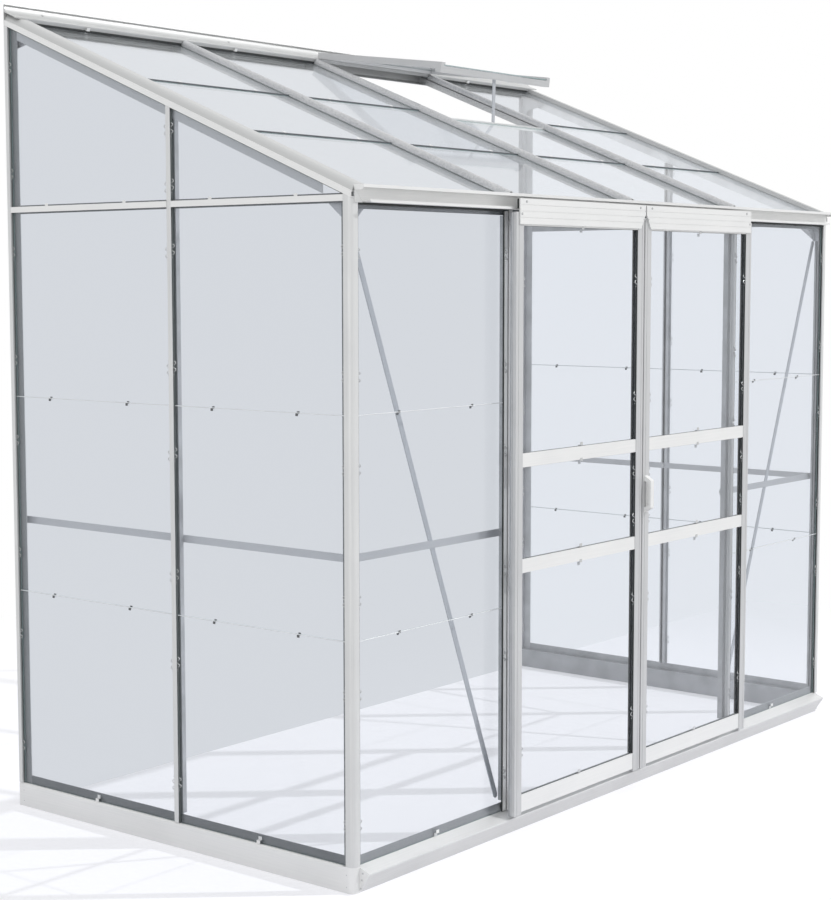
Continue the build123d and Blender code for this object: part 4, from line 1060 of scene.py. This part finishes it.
@dataclass
class Glazing(Assembly):
    """Glass of the walls and the roof, with its seals, some of them black as painted shade, seam strips and
    clips.
    """

    tab_shares: Sequence[float] = (0.27, 0.77)
    wire_shares: Sequence[float] = (0.19, 0.77)
    pane_depth: float = 0.0060
    seam_depth: float = 0.0068
    tab_depth: float = 0.0095
    tab_drop: float = 0.002
    wire_depth: float = 0.0040
    seal_width: float = 0.0022
    seal_depth: float = 0.0040
    end_seal_step: float = 0.0012
    end_wire_step: float = 0.0030
    least_pane: float = 0.15
    rail_tab_depth: float = 0.0045
    rail_tab_rise: float = 0.006
    trim_reach: float = 0.0235
    trim_depths: Pair = (0.0035, 0.0055)
    trim_foot: float = 0.001
    head_gap: float = 0.004
    trim_seal: Pair = (0.0022, 0.0044)
    post_seal_step: float = 0.0010
    # Black strip of painted shade along the top of the front panes, under the track floor.
    top_shadow_strip: Pair = (0.0050, 0.0060)
    top_shadow_strip_drop: float = 0.0030
    top_shadow_strip_depth: float = 0.0035
    post_wire_step: float = 0.004
    trim_wire_step: float = 0.003
    trim_wire_depth: float = 0.0020
    lap_rise: float = 0.0014
    lap_tab_rise: float = 0.0012

    def dress(self) -> None:
        """Finish the panes and add what holds them."""
        finishes = self.finishes
        for side in Side:
            finish_nodes({
                f"gable_glass_{side.word}": finishes.end_glass,
                f"front_glass_{side.word}": finishes.front_glass,
            })
        bays = range(1, len(self.lay.roof_bays) + 1)
        finish_nodes({f"roof_glass_{bay}": finishes.roof_glass for bay in bays})
        self.dress_ends()
        self.dress_front()
        self.dress_roof()

    def dress_ends(self) -> None:
        """Add seam strips, tabs, wire clips and seals to both ends."""
        lay, finishes, kit = self.lay, self.finishes, self.kit
        seams, seals, tabs, wires, rail_tabs = Paths(), Places(), Places(), Places(), Places()
        spans = (
            (lay.front + lay.post, lay.gable_bar - lay.bar_half),
            (lay.gable_bar + lay.bar_half, lay.wall - lay.wall_post),
        )
        for side, (start, stop) in product(Side, spans):
            depths = (self.seam_depth, self.tab_depth, self.pane_depth, self.rail_tab_depth, self.wire_depth)
            seam_x, tab_x, pane_x, rail_x, wire_x = (lay.end(side, depth) for depth in depths)
            for seam in (lay.lower_seam, lay.upper_seam):
                seams.line((seam_x, start, seam), (seam_x, stop, seam))
                for spot in between(start, stop, self.tab_shares):
                    tabs.put((tab_x, spot, seam - self.tab_drop), STANDING_END)
            for spot in between(start, stop, self.tab_shares):
                rail_tabs.put((rail_x, spot, lay.end_rail + self.rail_tab_rise), STANDING_END)
            for edge, step in ((start, 1.0), (stop, -1.0)):
                top, at = lay.rafter_under(edge), edge + step * self.end_seal_step
                seals.strip((pane_x, at, lay.base_top), (pane_x, at, top), self.seal_depth, self.seal_width)
                for low, high in pairwise((lay.base_top, lay.lower_seam, lay.upper_seam, lay.end_rail, top)):
                    shares = self.wire_shares if high - low >= self.least_pane else ()
                    for level in between(low, high, shares):
                        wires.put((wire_x, edge + step * self.end_wire_step, level), STANDING_END)
        kit.bead.grow("end_seams", seams, SEAM, finishes.seam)
        kit.strip.grow("end_seals", seals, ROUND, finishes.gasket)
        kit.seam_clip.grow("end_seam_tabs", tabs, DOT, finishes.seam_tab)
        kit.seam_clip.grow("end_rail_tabs", rail_tabs, TAB, finishes.clip)
        kit.wire_clip.grow("end_wire_clips", wires, WIRE, finishes.steel)

    def dress_front(self) -> None:
        """Add trims, black seals that are partly painted shade, a black strip of painted shade under the
        track, seam strips, tabs and wire clips to the fixed front bays.
        """
        lay, finishes, kit = self.lay, self.finishes, self.kit
        seams, seals, tabs, wires, trims = Paths(), Places(), Places(), Places(), Plates()
        pane, head = lay.front + self.pane_depth, lay.track_floor - self.head_gap
        seam_y, tab_y = lay.front + self.seam_depth, lay.front + self.tab_depth
        top, top_y = lay.track_floor - self.top_shadow_strip_drop, lay.front + self.top_shadow_strip_depth
        trim_near, trim_far = (lay.front + depth for depth in self.trim_depths)
        for side in Side:
            post, trim = lay.end(side, lay.post), side.value * (lay.bay + self.trim_reach)
            low_x, high_x = sorted((side.value * (lay.bay + lay.bar_half), trim))
            trims.block((low_x, trim_near, lay.base_top + self.trim_foot), (high_x, trim_far, head))
            for seam in (lay.lower_seam, lay.upper_seam):
                seams.line((post, seam_y, seam), (trim, seam_y, seam))
                for spot in between(post, trim, self.tab_shares):
                    tabs.put((spot, tab_y, seam - self.tab_drop), STANDING_FRONT)
            # The black strips beside the trim and the post are glazing seals that are black also as painted
            # shade; the one under the track is painted shade alone.
            shift, width = self.trim_seal
            edge, near = trim + side.value * shift, post - side.value * self.post_seal_step
            seals.strip((edge, pane, lay.base_top), (edge, pane, head), width, self.seal_depth)
            seals.strip((near, pane, lay.base_top), (near, pane, head), self.seal_width, self.seal_depth)
            seals.strip((post, top_y, top), (trim, top_y, top), *self.top_shadow_strip)
            for low, high in pairwise((lay.base_top, lay.lower_seam, lay.upper_seam, lay.track_floor)):
                for level in between(low, high, self.wire_shares):
                    by_post = near - side.value * self.post_wire_step
                    wires.put((by_post, lay.front + self.wire_depth, level), STANDING_FRONT)
                    by_trim = trim - side.value * self.trim_wire_step
                    wires.put((by_trim, lay.front + self.trim_wire_depth, level), STANDING_FRONT)
        kit.bead.grow("front_seams", seams, SEAM, finishes.seam)
        kit.strip.grow("front_seals_and_shade", seals, ROUND, finishes.rubber)
        kit.seam_clip.grow("front_seam_tabs", tabs, DOT, finishes.seam_tab)
        kit.wire_clip.grow("front_wire_clips", wires, WIRE, finishes.steel)
        piece("door_post_trims", trims.mesh("door_post_trims"), finishes.upright)

    def dress_roof(self) -> None:
        """Add the dark laps of the roof panes and their tabs."""
        lay, finishes, cap = self.lay, self.finishes, self.lay.roof_cap_half
        seams, tabs = Paths(), Places()
        bays = lay.roof_bays
        for bay, (left, right) in enumerate(bays):
            start = left + (cap if bay > 0 else 0.0)
            stop = right - (cap if bay < len(bays) - 1 else 0.0)
            for distance in (lay.roof_lower_seam, lay.roof_upper_seam):
                if bay == lay.vent_bay and distance == lay.roof_upper_seam:
                    continue
                rise = lay.roof_glass_rise + self.lap_rise
                seams.line(lay.roof(start, distance, rise), lay.roof(stop, distance, rise))
                for spot in between(start, stop, self.tab_shares):
                    tabs.put(lay.roof(spot, distance, lay.roof_glass_rise + self.lap_tab_rise), ACROSS_ROOF)
        self.kit.bead.grow("roof_seams", seams, LAP, finishes.roof_seam)
        self.kit.seam_clip.grow("roof_seam_tabs", tabs, TAB, finishes.clip)


@dataclass
class Skeleton(Assembly):
    """Posts, bars, rails, braces, corner plates and eave beam of the ends and the front."""

    gutter_inset: float = 0.012
    gutter_reach: float = 0.030
    gutter_gap: float = 0.0004
    gutter_round: float = 0.004
    cap_levels: Pair = (1.744, 1.7578)
    cap_sheet: float = 0.0015
    slant_inset: float = 0.0122
    slant_width: float = 0.0300
    slant_levels: Pair = (1.7145, 1.7515)
    slant_reach: float = 0.0020
    slant_sheet: float = 0.0016
    # Place and size of the dark strips of painted shade under the end rafters' lips.
    seal_depth: float = 0.0045
    shadow_strip_drop: float = -0.0150
    shadow_strip_ends: Pair = (0.030, 0.020)
    shadow_strip_size: Pair = (0.0050, 0.0030)
    rail_nut_level: float = 0.840
    rail_nut_depth: float = 0.034
    wall_nut_inset: float = 0.020
    post_nut_depth: float = 0.036
    plate_nut_level: float = 1.714
    plate_nut_depth: float = 0.033
    plate_nut_steps: Sequence[float] = (0.020, 0.054, 0.084)

    def dress(self) -> None:
        """Finish the nodes and add the rafters' dark strips of painted shade, caps and nuts."""
        finishes = self.finishes
        for side in Side:
            word, end = side.word, finishes.end[side]
            finish_nodes({
                f"corner_post_{word}": end["corner"],
                f"wall_post_{word}": end["upright"],
                f"gable_bar_{word}": end["upright"],
                f"door_post_{word}": finishes.front_upright,
                f"gable_rafter_{word}": end["rafter"],
                f"gable_eave_rail_{word}": end["base"],
                f"mid_rails_{word}": finishes.inner,
                f"brace_{word}": finishes.brace,
            })
        finish_nodes({"eave_gutter": finishes.gutter, "gusset_plates": finishes.inner})
        self.add_rafter_seals()
        self.add_caps()
        self.add_nuts()

    def add_rafter_seals(self) -> None:
        """Add a dark strip of painted shade between the outer lip of each end rafter and the glass below it.
        """
        lay, seals = self.lay, Places()
        foot, head = self.shadow_strip_ends[0], lay.run - self.shadow_strip_ends[1]
        for side in Side:
            x, drop = lay.end(side, self.seal_depth), self.shadow_strip_drop
            seals.strip(lay.roof(x, foot, drop), lay.roof(x, head, drop), *self.shadow_strip_size)
        self.kit.strip.grow("rafter_seals", seals, ROUND, self.finishes.gasket)

    def add_caps(self) -> None:
        """Close both ends of the gutter and the slanted gaps under them."""
        lay, caps = self.lay, Plates()
        near, far = lay.front - self.gutter_gap, lay.front - self.gutter_reach
        (low, high), (foot, head), curve = self.cap_levels, self.slant_levels, self.gutter_round
        section = ((near, low), (far + curve, low), (far, low + curve), (far, high), (near, high))
        slant_y = lay.front - self.slant_reach
        for side in Side:
            x = lay.end(side, self.gutter_inset)
            caps.push([(x, y, z) for y, z in section], (side.value * self.cap_sheet, 0.0, 0.0))
            corner = lay.end(side, self.slant_inset)
            inner = corner - side.value * self.slant_width
            slant = [(corner, slant_y, foot), (inner, slant_y, foot), (corner, slant_y, head)]
            caps.push(slant, (0.0, self.slant_sheet, 0.0))
        piece("gutter_end_caps", caps.mesh("gutter_end_caps"), self.finishes.across)

    def add_nuts(self) -> None:
        """Add the nuts on the inner side, where rails, braces and plates are bolted."""
        lay, nuts = self.lay, Places()
        for side in Side:
            face, level = facing(-side.value), self.rail_nut_level
            for y in (lay.gable_bar, lay.wall - self.wall_nut_inset):
                nuts.put((lay.end(side, self.rail_nut_depth), y, level), face)
            for x in (lay.end(side, self.post_nut_depth), side.value * lay.bay):
                nuts.put((x, lay.front + self.rail_nut_depth, level), FACE_BACK)
            for step in self.plate_nut_steps:
                spot = (lay.end(side, self.plate_nut_depth), lay.front + step, self.plate_nut_level)
                nuts.put(spot, face)
        self.kit.fastener.grow("frame_nuts", nuts, NUT, self.finishes.steel)


@dataclass
class Roof(Assembly):
    """Roof bars, ridge plate and the vent on its stay."""

    rivet_count: int = 4
    rivet_end: float = 0.132
    rivet_drop: float = 0.0096
    rivet_level: float = 2.2819
    cove_lean: float = 43.0
    cover_edge: float = 0.046
    # Place and size of the black strip of painted shade in the gap under the ridge cover.
    shadow_strip_inset: float = 0.001
    shadow_strip_steps: Pair = (-0.0012, 0.0060)
    shadow_strip_foot: float = 0.0003
    shadow_strip_top: float = 0.0108
    clip_share: float = 0.36
    clip_step: float = 0.0005
    clip_rise: float = 0.0105

    def dress(self) -> None:
        """Finish the nodes and add the fasteners, the clips and a black strip of painted shade under the
        ridge cover.
        """
        finishes = self.finishes
        finish_nodes({
            "roof_bars": finishes.roof_bar,
            "ridge_plate": finishes.ridge,
            "vent_sash": finishes.vent,
            "vent_stay": finishes.brace,
            "vent_sill": finishes.across,
            "vent_glass": finishes.roof_glass,
        })
        self.add_rivets()
        self.add_ridge_shadow_strip()

    def add_rivets(self) -> None:
        """Add the rivets in the cove of the ridge plate."""
        lay, rivets = self.lay, Places()
        lean = Euler((math.radians(self.cove_lean), 0.0, 0.0))
        shares = [index / (self.rivet_count - 1) for index in range(self.rivet_count)]
        for x in between(lay.left + self.rivet_end, -lay.left - self.rivet_end, shares):
            rivets.put((x, lay.wall - self.rivet_drop, self.rivet_level), lean)
        self.kit.fastener.grow("ridge_rivets", rivets, RIVET, self.finishes.steel)

    def add_ridge_shadow_strip(self) -> None:
        """Add a black strip of painted shade and the clips under the edge of the ridge cover, beside the
        vent.
        """
        # The black plates stand for the shadow in the gap under the cover: painted shade.
        lay, clips, seal = self.lay, Places(), Plates()
        edge, inset = lay.run - self.cover_edge, lay.roof_cap_half + self.shadow_strip_inset
        near, far = (edge + step for step in self.shadow_strip_steps)
        low, high = lay.roof_glass_rise + self.shadow_strip_foot, self.shadow_strip_top
        for bay, (start, stop) in enumerate(lay.roof_bays):
            if bay == lay.vent_bay:
                continue
            section = ((near, low), (far, low), (far, high), (near, high))
            outline = [lay.roof(start + inset, distance, rise) for distance, rise in section]
            seal.push(outline, (stop - start - 2.0 * inset, 0.0, 0.0))
            x = start + self.clip_share * (stop - start)
            clips.put(lay.roof(x, edge - self.clip_step, self.clip_rise), ON_ROOF)
        piece("ridge_painted_shadow", seal.mesh("ridge_painted_shadow"), self.finishes.rubber, Body.FRAME, Slot.PLASTIC)
        self.kit.seam_clip.grow("ridge_clips", clips, TAB, self.finishes.clip)


@dataclass
class Door(Assembly):
    """One sliding door with its hanger plate, seals and clips."""

    side: Side
    rail_levels: Sequence[Pair] = ((0.069, 0.117), (0.733, 0.771), (1.022, 1.060), (1.672, 1.708))
    stile: float = 0.034
    seal_step: float = 0.0004
    seal_width: float = 0.0016
    seals: Sequence[Pair] = ((0.0155, 0.0085), (0.0045, 0.0060))
    rail_seal_depth: float = 0.0064
    rail_seal: Pair = (0.0020, 0.0026)
    wire_shares: Sequence[float] = (0.20, 0.76)
    wire_step: float = 0.004
    wire_depth: float = 0.0040
    tab_depth: float = 0.0055
    tab_steps: Pair = (0.003, 0.004)
    rib_depths: Sequence[float] = (0.0045, 0.0090, 0.0135)
    rib_width: float = 0.0022
    rib_end: float = 0.002
    header_screws: Sequence[Pair] = ((0.029, -0.008), (0.008, 0.027))
    # Place of the black blocks of painted shade behind the ends of the hanger plate.
    shadow_block_x: Pair = (0.0006, 0.0050)
    shadow_block_y: Pair = (0.0002, 0.0072)
    shadow_block_z: Pair = (0.027, 0.001)
    grip_half: float = 0.0016
    grip_y: Pair = (0.003, 0.001)
    grip_end: float = 0.010

    @property
    def word(self) -> str:
        """Side of the door in node names."""
        return self.side.word

    @property
    def body(self) -> Body:
        """Body that the door's pieces ride on."""
        return Body(f"{self.word}_door")

    @property
    def box(self) -> tuple[Vector, Vector]:
        """Low and high corner of the stiles."""
        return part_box(f"door_{self.word}_stiles")

    @property
    def edges(self) -> tuple[Pair, Pair]:
        """Inner edge of each stile and the way from it into the opening."""
        low, high = self.box
        return (low.x + self.stile, 1.0), (high.x - self.stile, -1.0)

    @property
    def openings(self) -> list[Pair]:
        """Foot and head of each pane's opening."""
        return [(below[1], above[0]) for below, above in pairwise(self.rail_levels)]

    def dress(self) -> None:
        """Finish the nodes and add seals, partly painted shade, ribs, clips and screws."""
        finishes, door = self.finishes, f"door_{self.word}"
        finish_nodes({
            f"{door}_stiles": finishes.door_upright,
            f"{door}_rails": finishes.door_across,
            f"{door}_hanger": finishes.door_across,
            f"{door}_glass": finishes.front_glass,
        })
        self.add_seals()
        self.add_clips()
        self.add_ribs()
        self.add_header()
        if self.side is Side.RIGHT:
            finish_nodes({"door_right_handle": finishes.plastic})
            self.add_grip()

    def add_seals(self) -> None:
        """Add the seals along the stiles and rails round each pane; the black strips along the stiles are
        rubber seals that are also painted shade on the stiles' inner sides.
        """
        seals, lines, face = Places(), Places(), self.box[0].y
        (left, _), (right, _) = self.edges
        rail_y = face + self.rail_seal_depth
        for foot, head in self.openings:
            for edge, step in self.edges:
                # Black strips by each stile: rubber seal and painted shade.
                x = edge + step * self.seal_step
                for depth, width in self.seals:
                    seals.strip((x, face + depth, foot), (x, face + depth, head), self.seal_width, width)
            for level in (foot, head):
                lines.strip((left, rail_y, level), (right, rail_y, level), *self.rail_seal)
        grow, word = self.kit.strip.grow, self.word
        grow(f"door_{word}_seals", seals, ROUND, self.finishes.rubber, self.body)
        grow(f"door_{word}_rail_seals", lines, ROUND, self.finishes.gasket, self.body)

    def add_clips(self) -> None:
        """Add the wire clips on the stiles and the folded clips on the rails."""
        wires, tabs, face = Places(), Places(), self.box[0].y
        middle = (self.edges[0][0] + self.edges[1][0]) / 2
        above, below = self.tab_steps
        for foot, head in self.openings:
            for edge, step in self.edges:
                for level in between(foot, head, self.wire_shares):
                    wires.put((edge + step * self.wire_step, face + self.wire_depth, level), STANDING_FRONT)
            for level in (foot + above, head - below):
                tabs.put((middle, face + self.tab_depth, level), STANDING_FRONT)
        kit, word, steel = self.kit, self.word, self.finishes.steel
        kit.wire_clip.grow(f"door_{word}_wire_clips", wires, WIRE, steel, self.body)
        kit.seam_clip.grow(f"door_{word}_tabs", tabs, TAB, steel, self.body)

    def add_ribs(self) -> None:
        """Add the drawn ribs on the outer side of the outer stile."""
        ribs, (low, high) = Places(), self.box
        outer = low.x if self.side is Side.LEFT else high.x
        foot, head = low.z + self.rib_end, high.z - self.rib_end
        for depth in self.rib_depths:
            y = low.y + depth
            ribs.strip((outer, y, foot), (outer, y, head), self.rib_width, self.rib_width)
        self.kit.strip.grow(f"door_{self.word}_ribs", ribs, ROUND, self.finishes.stile, self.body)

    def add_header(self) -> None:
        """Add the screws at both ends of the hanger plate and black blocks of painted shade behind them."""
        low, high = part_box(f"door_{self.word}_hanger")
        screws, track_shadow_blocks = Places(), Plates()
        (inset, drop), (corner, rise) = self.header_screws
        near_y, far_y = (self.lay.door_face + depth for depth in self.shadow_block_y)
        foot, head = (high.z - drop for drop in self.shadow_block_z)
        for x, step in ((low.x, 1.0), (high.x, -1.0)):
            screws.put((x + step * inset, low.y, high.z + drop), FACE_FRONT)
            screws.put((x + step * corner, low.y, low.z + rise), FACE_FRONT)
            near, far = sorted(x + step * reach for reach in self.shadow_block_x)
            # Black block of painted shade in the track behind the plate's end.
            track_shadow_blocks.block((near, near_y, foot), (far, far_y, head))
        name = f"door_{self.word}_brushes"
        self.kit.fastener.grow(f"door_{self.word}_screws", screws, SCREW, self.finishes.steel, self.body)
        piece(name, track_shadow_blocks.mesh(name), self.finishes.rubber, self.body, Slot.PLASTIC)

    def add_grip(self) -> None:
        """Add the finger plate inside the handle."""
        low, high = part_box("door_right_handle")
        middle, grip = (low.x + high.x) / 2, Plates()
        near, far = low.y + self.grip_y[0], high.y - self.grip_y[1]
        grip.block(
            (middle - self.grip_half, near, low.z + self.grip_end),
            (middle + self.grip_half, far, high.z - self.grip_end),
        )
        piece("door_right_grip", grip.mesh("door_right_grip"), self.finishes.plastic, self.body, Slot.PLASTIC)


@dataclass(frozen=True)
class Backdrop:
    """Background of the stage: white, with a greyer tone of painted shade behind one or two panes."""

    # Tones seen through one and through two panes: painted shade.
    one_pane: Color = (0.700, 0.720, 0.755)
    two_panes: Color = (0.88, 0.895, 0.93)
    light: float = 0.72

    @staticmethod
    def seen(graph: Graph) -> Socket:
        """Find the rays that look at the background, straight, mirrored or through glass.

        Args:
            graph: Graph of the material.

        Returns:
            The mask socket.
        """
        path = graph.add("ShaderNodeLightPath").outputs
        straight = graph.math("MAXIMUM", path["Is Camera Ray"], path["Is Glossy Ray"])
        return graph.math("MAXIMUM", straight, path["Is Transmission Ray"])

    @staticmethod
    def behind(graph: Graph, faces: float) -> Socket:
        """Find the rays that have passed more than a number of faces of glass."""
        passed = graph.add("ShaderNodeLightPath").outputs["Transparent Depth"]
        return graph.math("GREATER_THAN", passed, faces)

    def tone(self, graph: Graph) -> Socket:
        """Choose white, or the painted-shade tone behind one or two panes."""
        pale = graph.tint(self.behind(graph, TWO_PANES), self.one_pane, self.two_panes)
        return graph.tint(self.behind(graph, ONE_PANE), EVEN, pale)


@dataclass(frozen=True)
class FloorFinish(Finish):
    """Pale ground that keeps the shadow, glows less behind the panes as painted shade, and fades into the
    backdrop.
    """

    wall: float
    backdrop: Backdrop
    color: Color = (0.60, 0.60, 0.625)
    glow_color: Color = (0.98, 0.98, 1.0)
    glow: float = 0.42
    glow_behind: float = 0.33
    fade_start: float = 1.45
    fade_end: float = 3.2
    grain_scale: float = 60.0
    gloss: Pair = (0.75, 0.85)

    def fade(self, graph: Graph) -> Socket:
        """Find the share of the backdrop, by the distance and past the wall behind the panes.

        Args:
            graph: Graph of the material.

        Returns:
            The share, from 0 to 1.
        """
        place = graph.coords()
        distance = graph.add("ShaderNodeVectorMath", {0: place}, operation="LENGTH").outputs["Value"]
        ranges = {"Value": distance, "From Min": self.fade_start, "From Max": self.fade_end}
        away = graph.out("ShaderNodeMapRange", ranges, interpolation_type="SMOOTHSTEP")
        past_wall = graph.math("GREATER_THAN", graph.dot(place, (0.0, 1.0, 0.0)), self.wall)
        hidden = graph.math("MULTIPLY", past_wall, self.backdrop.behind(graph, ONE_PANE))
        return graph.math("MAXIMUM", away, hidden)

    def surface(self, graph: Graph) -> Socket:
        """Add the nodes of the lit ground and of the backdrop that it fades into.

        Args:
            graph: Graph of the material.

        Returns:
            The shader socket.
        """
        backdrop, seen = self.backdrop, self.backdrop.seen(graph)
        rough = graph.spread(graph.noise(EVEN, self.grain_scale), *self.gloss)
        ground = graph.out("ShaderNodeBsdfPrincipled", {"Base Color": (*self.color, 1.0), "Roughness": rough})
        # Less glow where the floor is seen through a pane: painted shade.
        less = graph.math("MULTIPLY", backdrop.behind(graph, ONE_PANE), self.glow - self.glow_behind)
        strength = graph.math("MULTIPLY", seen, graph.math("SUBTRACT", self.glow, less))
        glow = graph.out("ShaderNodeEmission", {"Color": (*self.glow_color, 1.0), "Strength": strength})
        lit = graph.out("ShaderNodeAddShader", {0: ground, 1: glow})
        level = graph.math("MAXIMUM", seen, backdrop.light)
        away = graph.out("ShaderNodeEmission", {"Color": backdrop.tone(graph), "Strength": level})
        return graph.mix(self.fade(graph), lit, away)


@dataclass
class Studio:
    """Camera, lamps, world and floor."""

    layout: Layout
    backdrop: Backdrop = Backdrop()
    camera_place: Point = (-4.6617, -3.5247, 1.5276)
    azimuth: float = -51.307
    elevation: float = 5.274
    roll: float = -0.052
    lens: float = 73.7
    sensor: float = 36.0
    sight: float = 100.0
    key: tuple[float, float, Point] = (1.55, 0.8, (-0.55, 0.62, -0.80))
    fill: tuple[float, float, Point] = (0.45, 50.0, (0.90, 0.25, -0.25))
    sky: Color = (0.97, 0.98, 1.0)
    floor_reach: float = 4.2

    def build(self) -> None:
        """Make everything that isn't part of the object."""
        self.add_camera()
        self.add_world()
        self.add_lamps()
        self.add_floor()
        bpy.context.scene.view_settings.view_transform = "Standard"

    def add_camera(self) -> None:
        """Set the camera at the photograph's viewing angle."""
        data = bpy.data.cameras.new("camera")
        data.sensor_width, data.lens, data.clip_end = self.sensor, self.lens, self.sight
        camera = link("camera", data)
        turn, tilt = math.radians(self.azimuth), math.radians(self.elevation)
        back = Vector((math.sin(turn) * math.cos(tilt), -math.cos(turn) * math.cos(tilt), math.sin(tilt)))
        aim = (-back).to_track_quat("-Z", "Y").to_matrix().to_4x4()
        roll = Matrix.Rotation(math.radians(self.roll), 4, "Z")
        camera.matrix_world = Matrix.Translation(self.camera_place) @ aim @ roll
        bpy.context.scene.camera = camera

    def add_world(self) -> None:
        """Light the object evenly, and show white behind it and a painted-shade tone behind its panes."""
        world = bpy.data.worlds.new("studio")
        world.use_nodes = True
        world.node_tree.nodes.clear()
        graph = Graph(world.node_tree)
        backdrop, sky = self.backdrop, (*self.sky, 1.0)
        light = graph.out("ShaderNodeBackground", {"Color": sky, "Strength": backdrop.light})
        shown = graph.out("ShaderNodeBackground", {"Color": backdrop.tone(graph), "Strength": 1.0})
        graph.add("ShaderNodeOutputWorld", {0: graph.mix(backdrop.seen(graph), light, shown)})
        bpy.context.scene.world = world

    def add_lamps(self) -> None:
        """Add a key lamp from the front right and a wide, weak one from the left."""
        for name, (energy, angle, aim) in (("key", self.key), ("fill", self.fill)):
            data = bpy.data.lights.new(name, "SUN")
            data.energy, data.angle = energy, math.radians(angle)
            link(name, data).rotation_euler = Vector(aim).to_track_quat("-Z", "Y").to_euler()

    def add_floor(self) -> None:
        """Add the pale floor."""
        reach, mesh = self.floor_reach, bpy.data.meshes.new("floor")
        corners = [(-reach, -reach, 0), (reach, -reach, 0), (reach, reach, 0), (-reach, reach, 0)]
        mesh.from_pydata(corners, [], [(0, 1, 2, 3)])
        mesh.materials.append(FloorFinish("floor_pale", self.layout.wall, self.backdrop).material())
        link("floor", mesh)


def main() -> None:
    """Build every sub-assembly in order."""
    logging.basicConfig(level=logging.INFO, format="%(message)s")
    layout = Layout.from_frame()
    kit = Kit(layout)
    Studio(layout).build()
    Base(kit).dress()
    Skeleton(kit).dress()
    Glazing(kit).dress()
    Roof(kit).dress()
    for side in Side:
        Door(kit, side).dress()


if __name__ == "__main__":
    main()
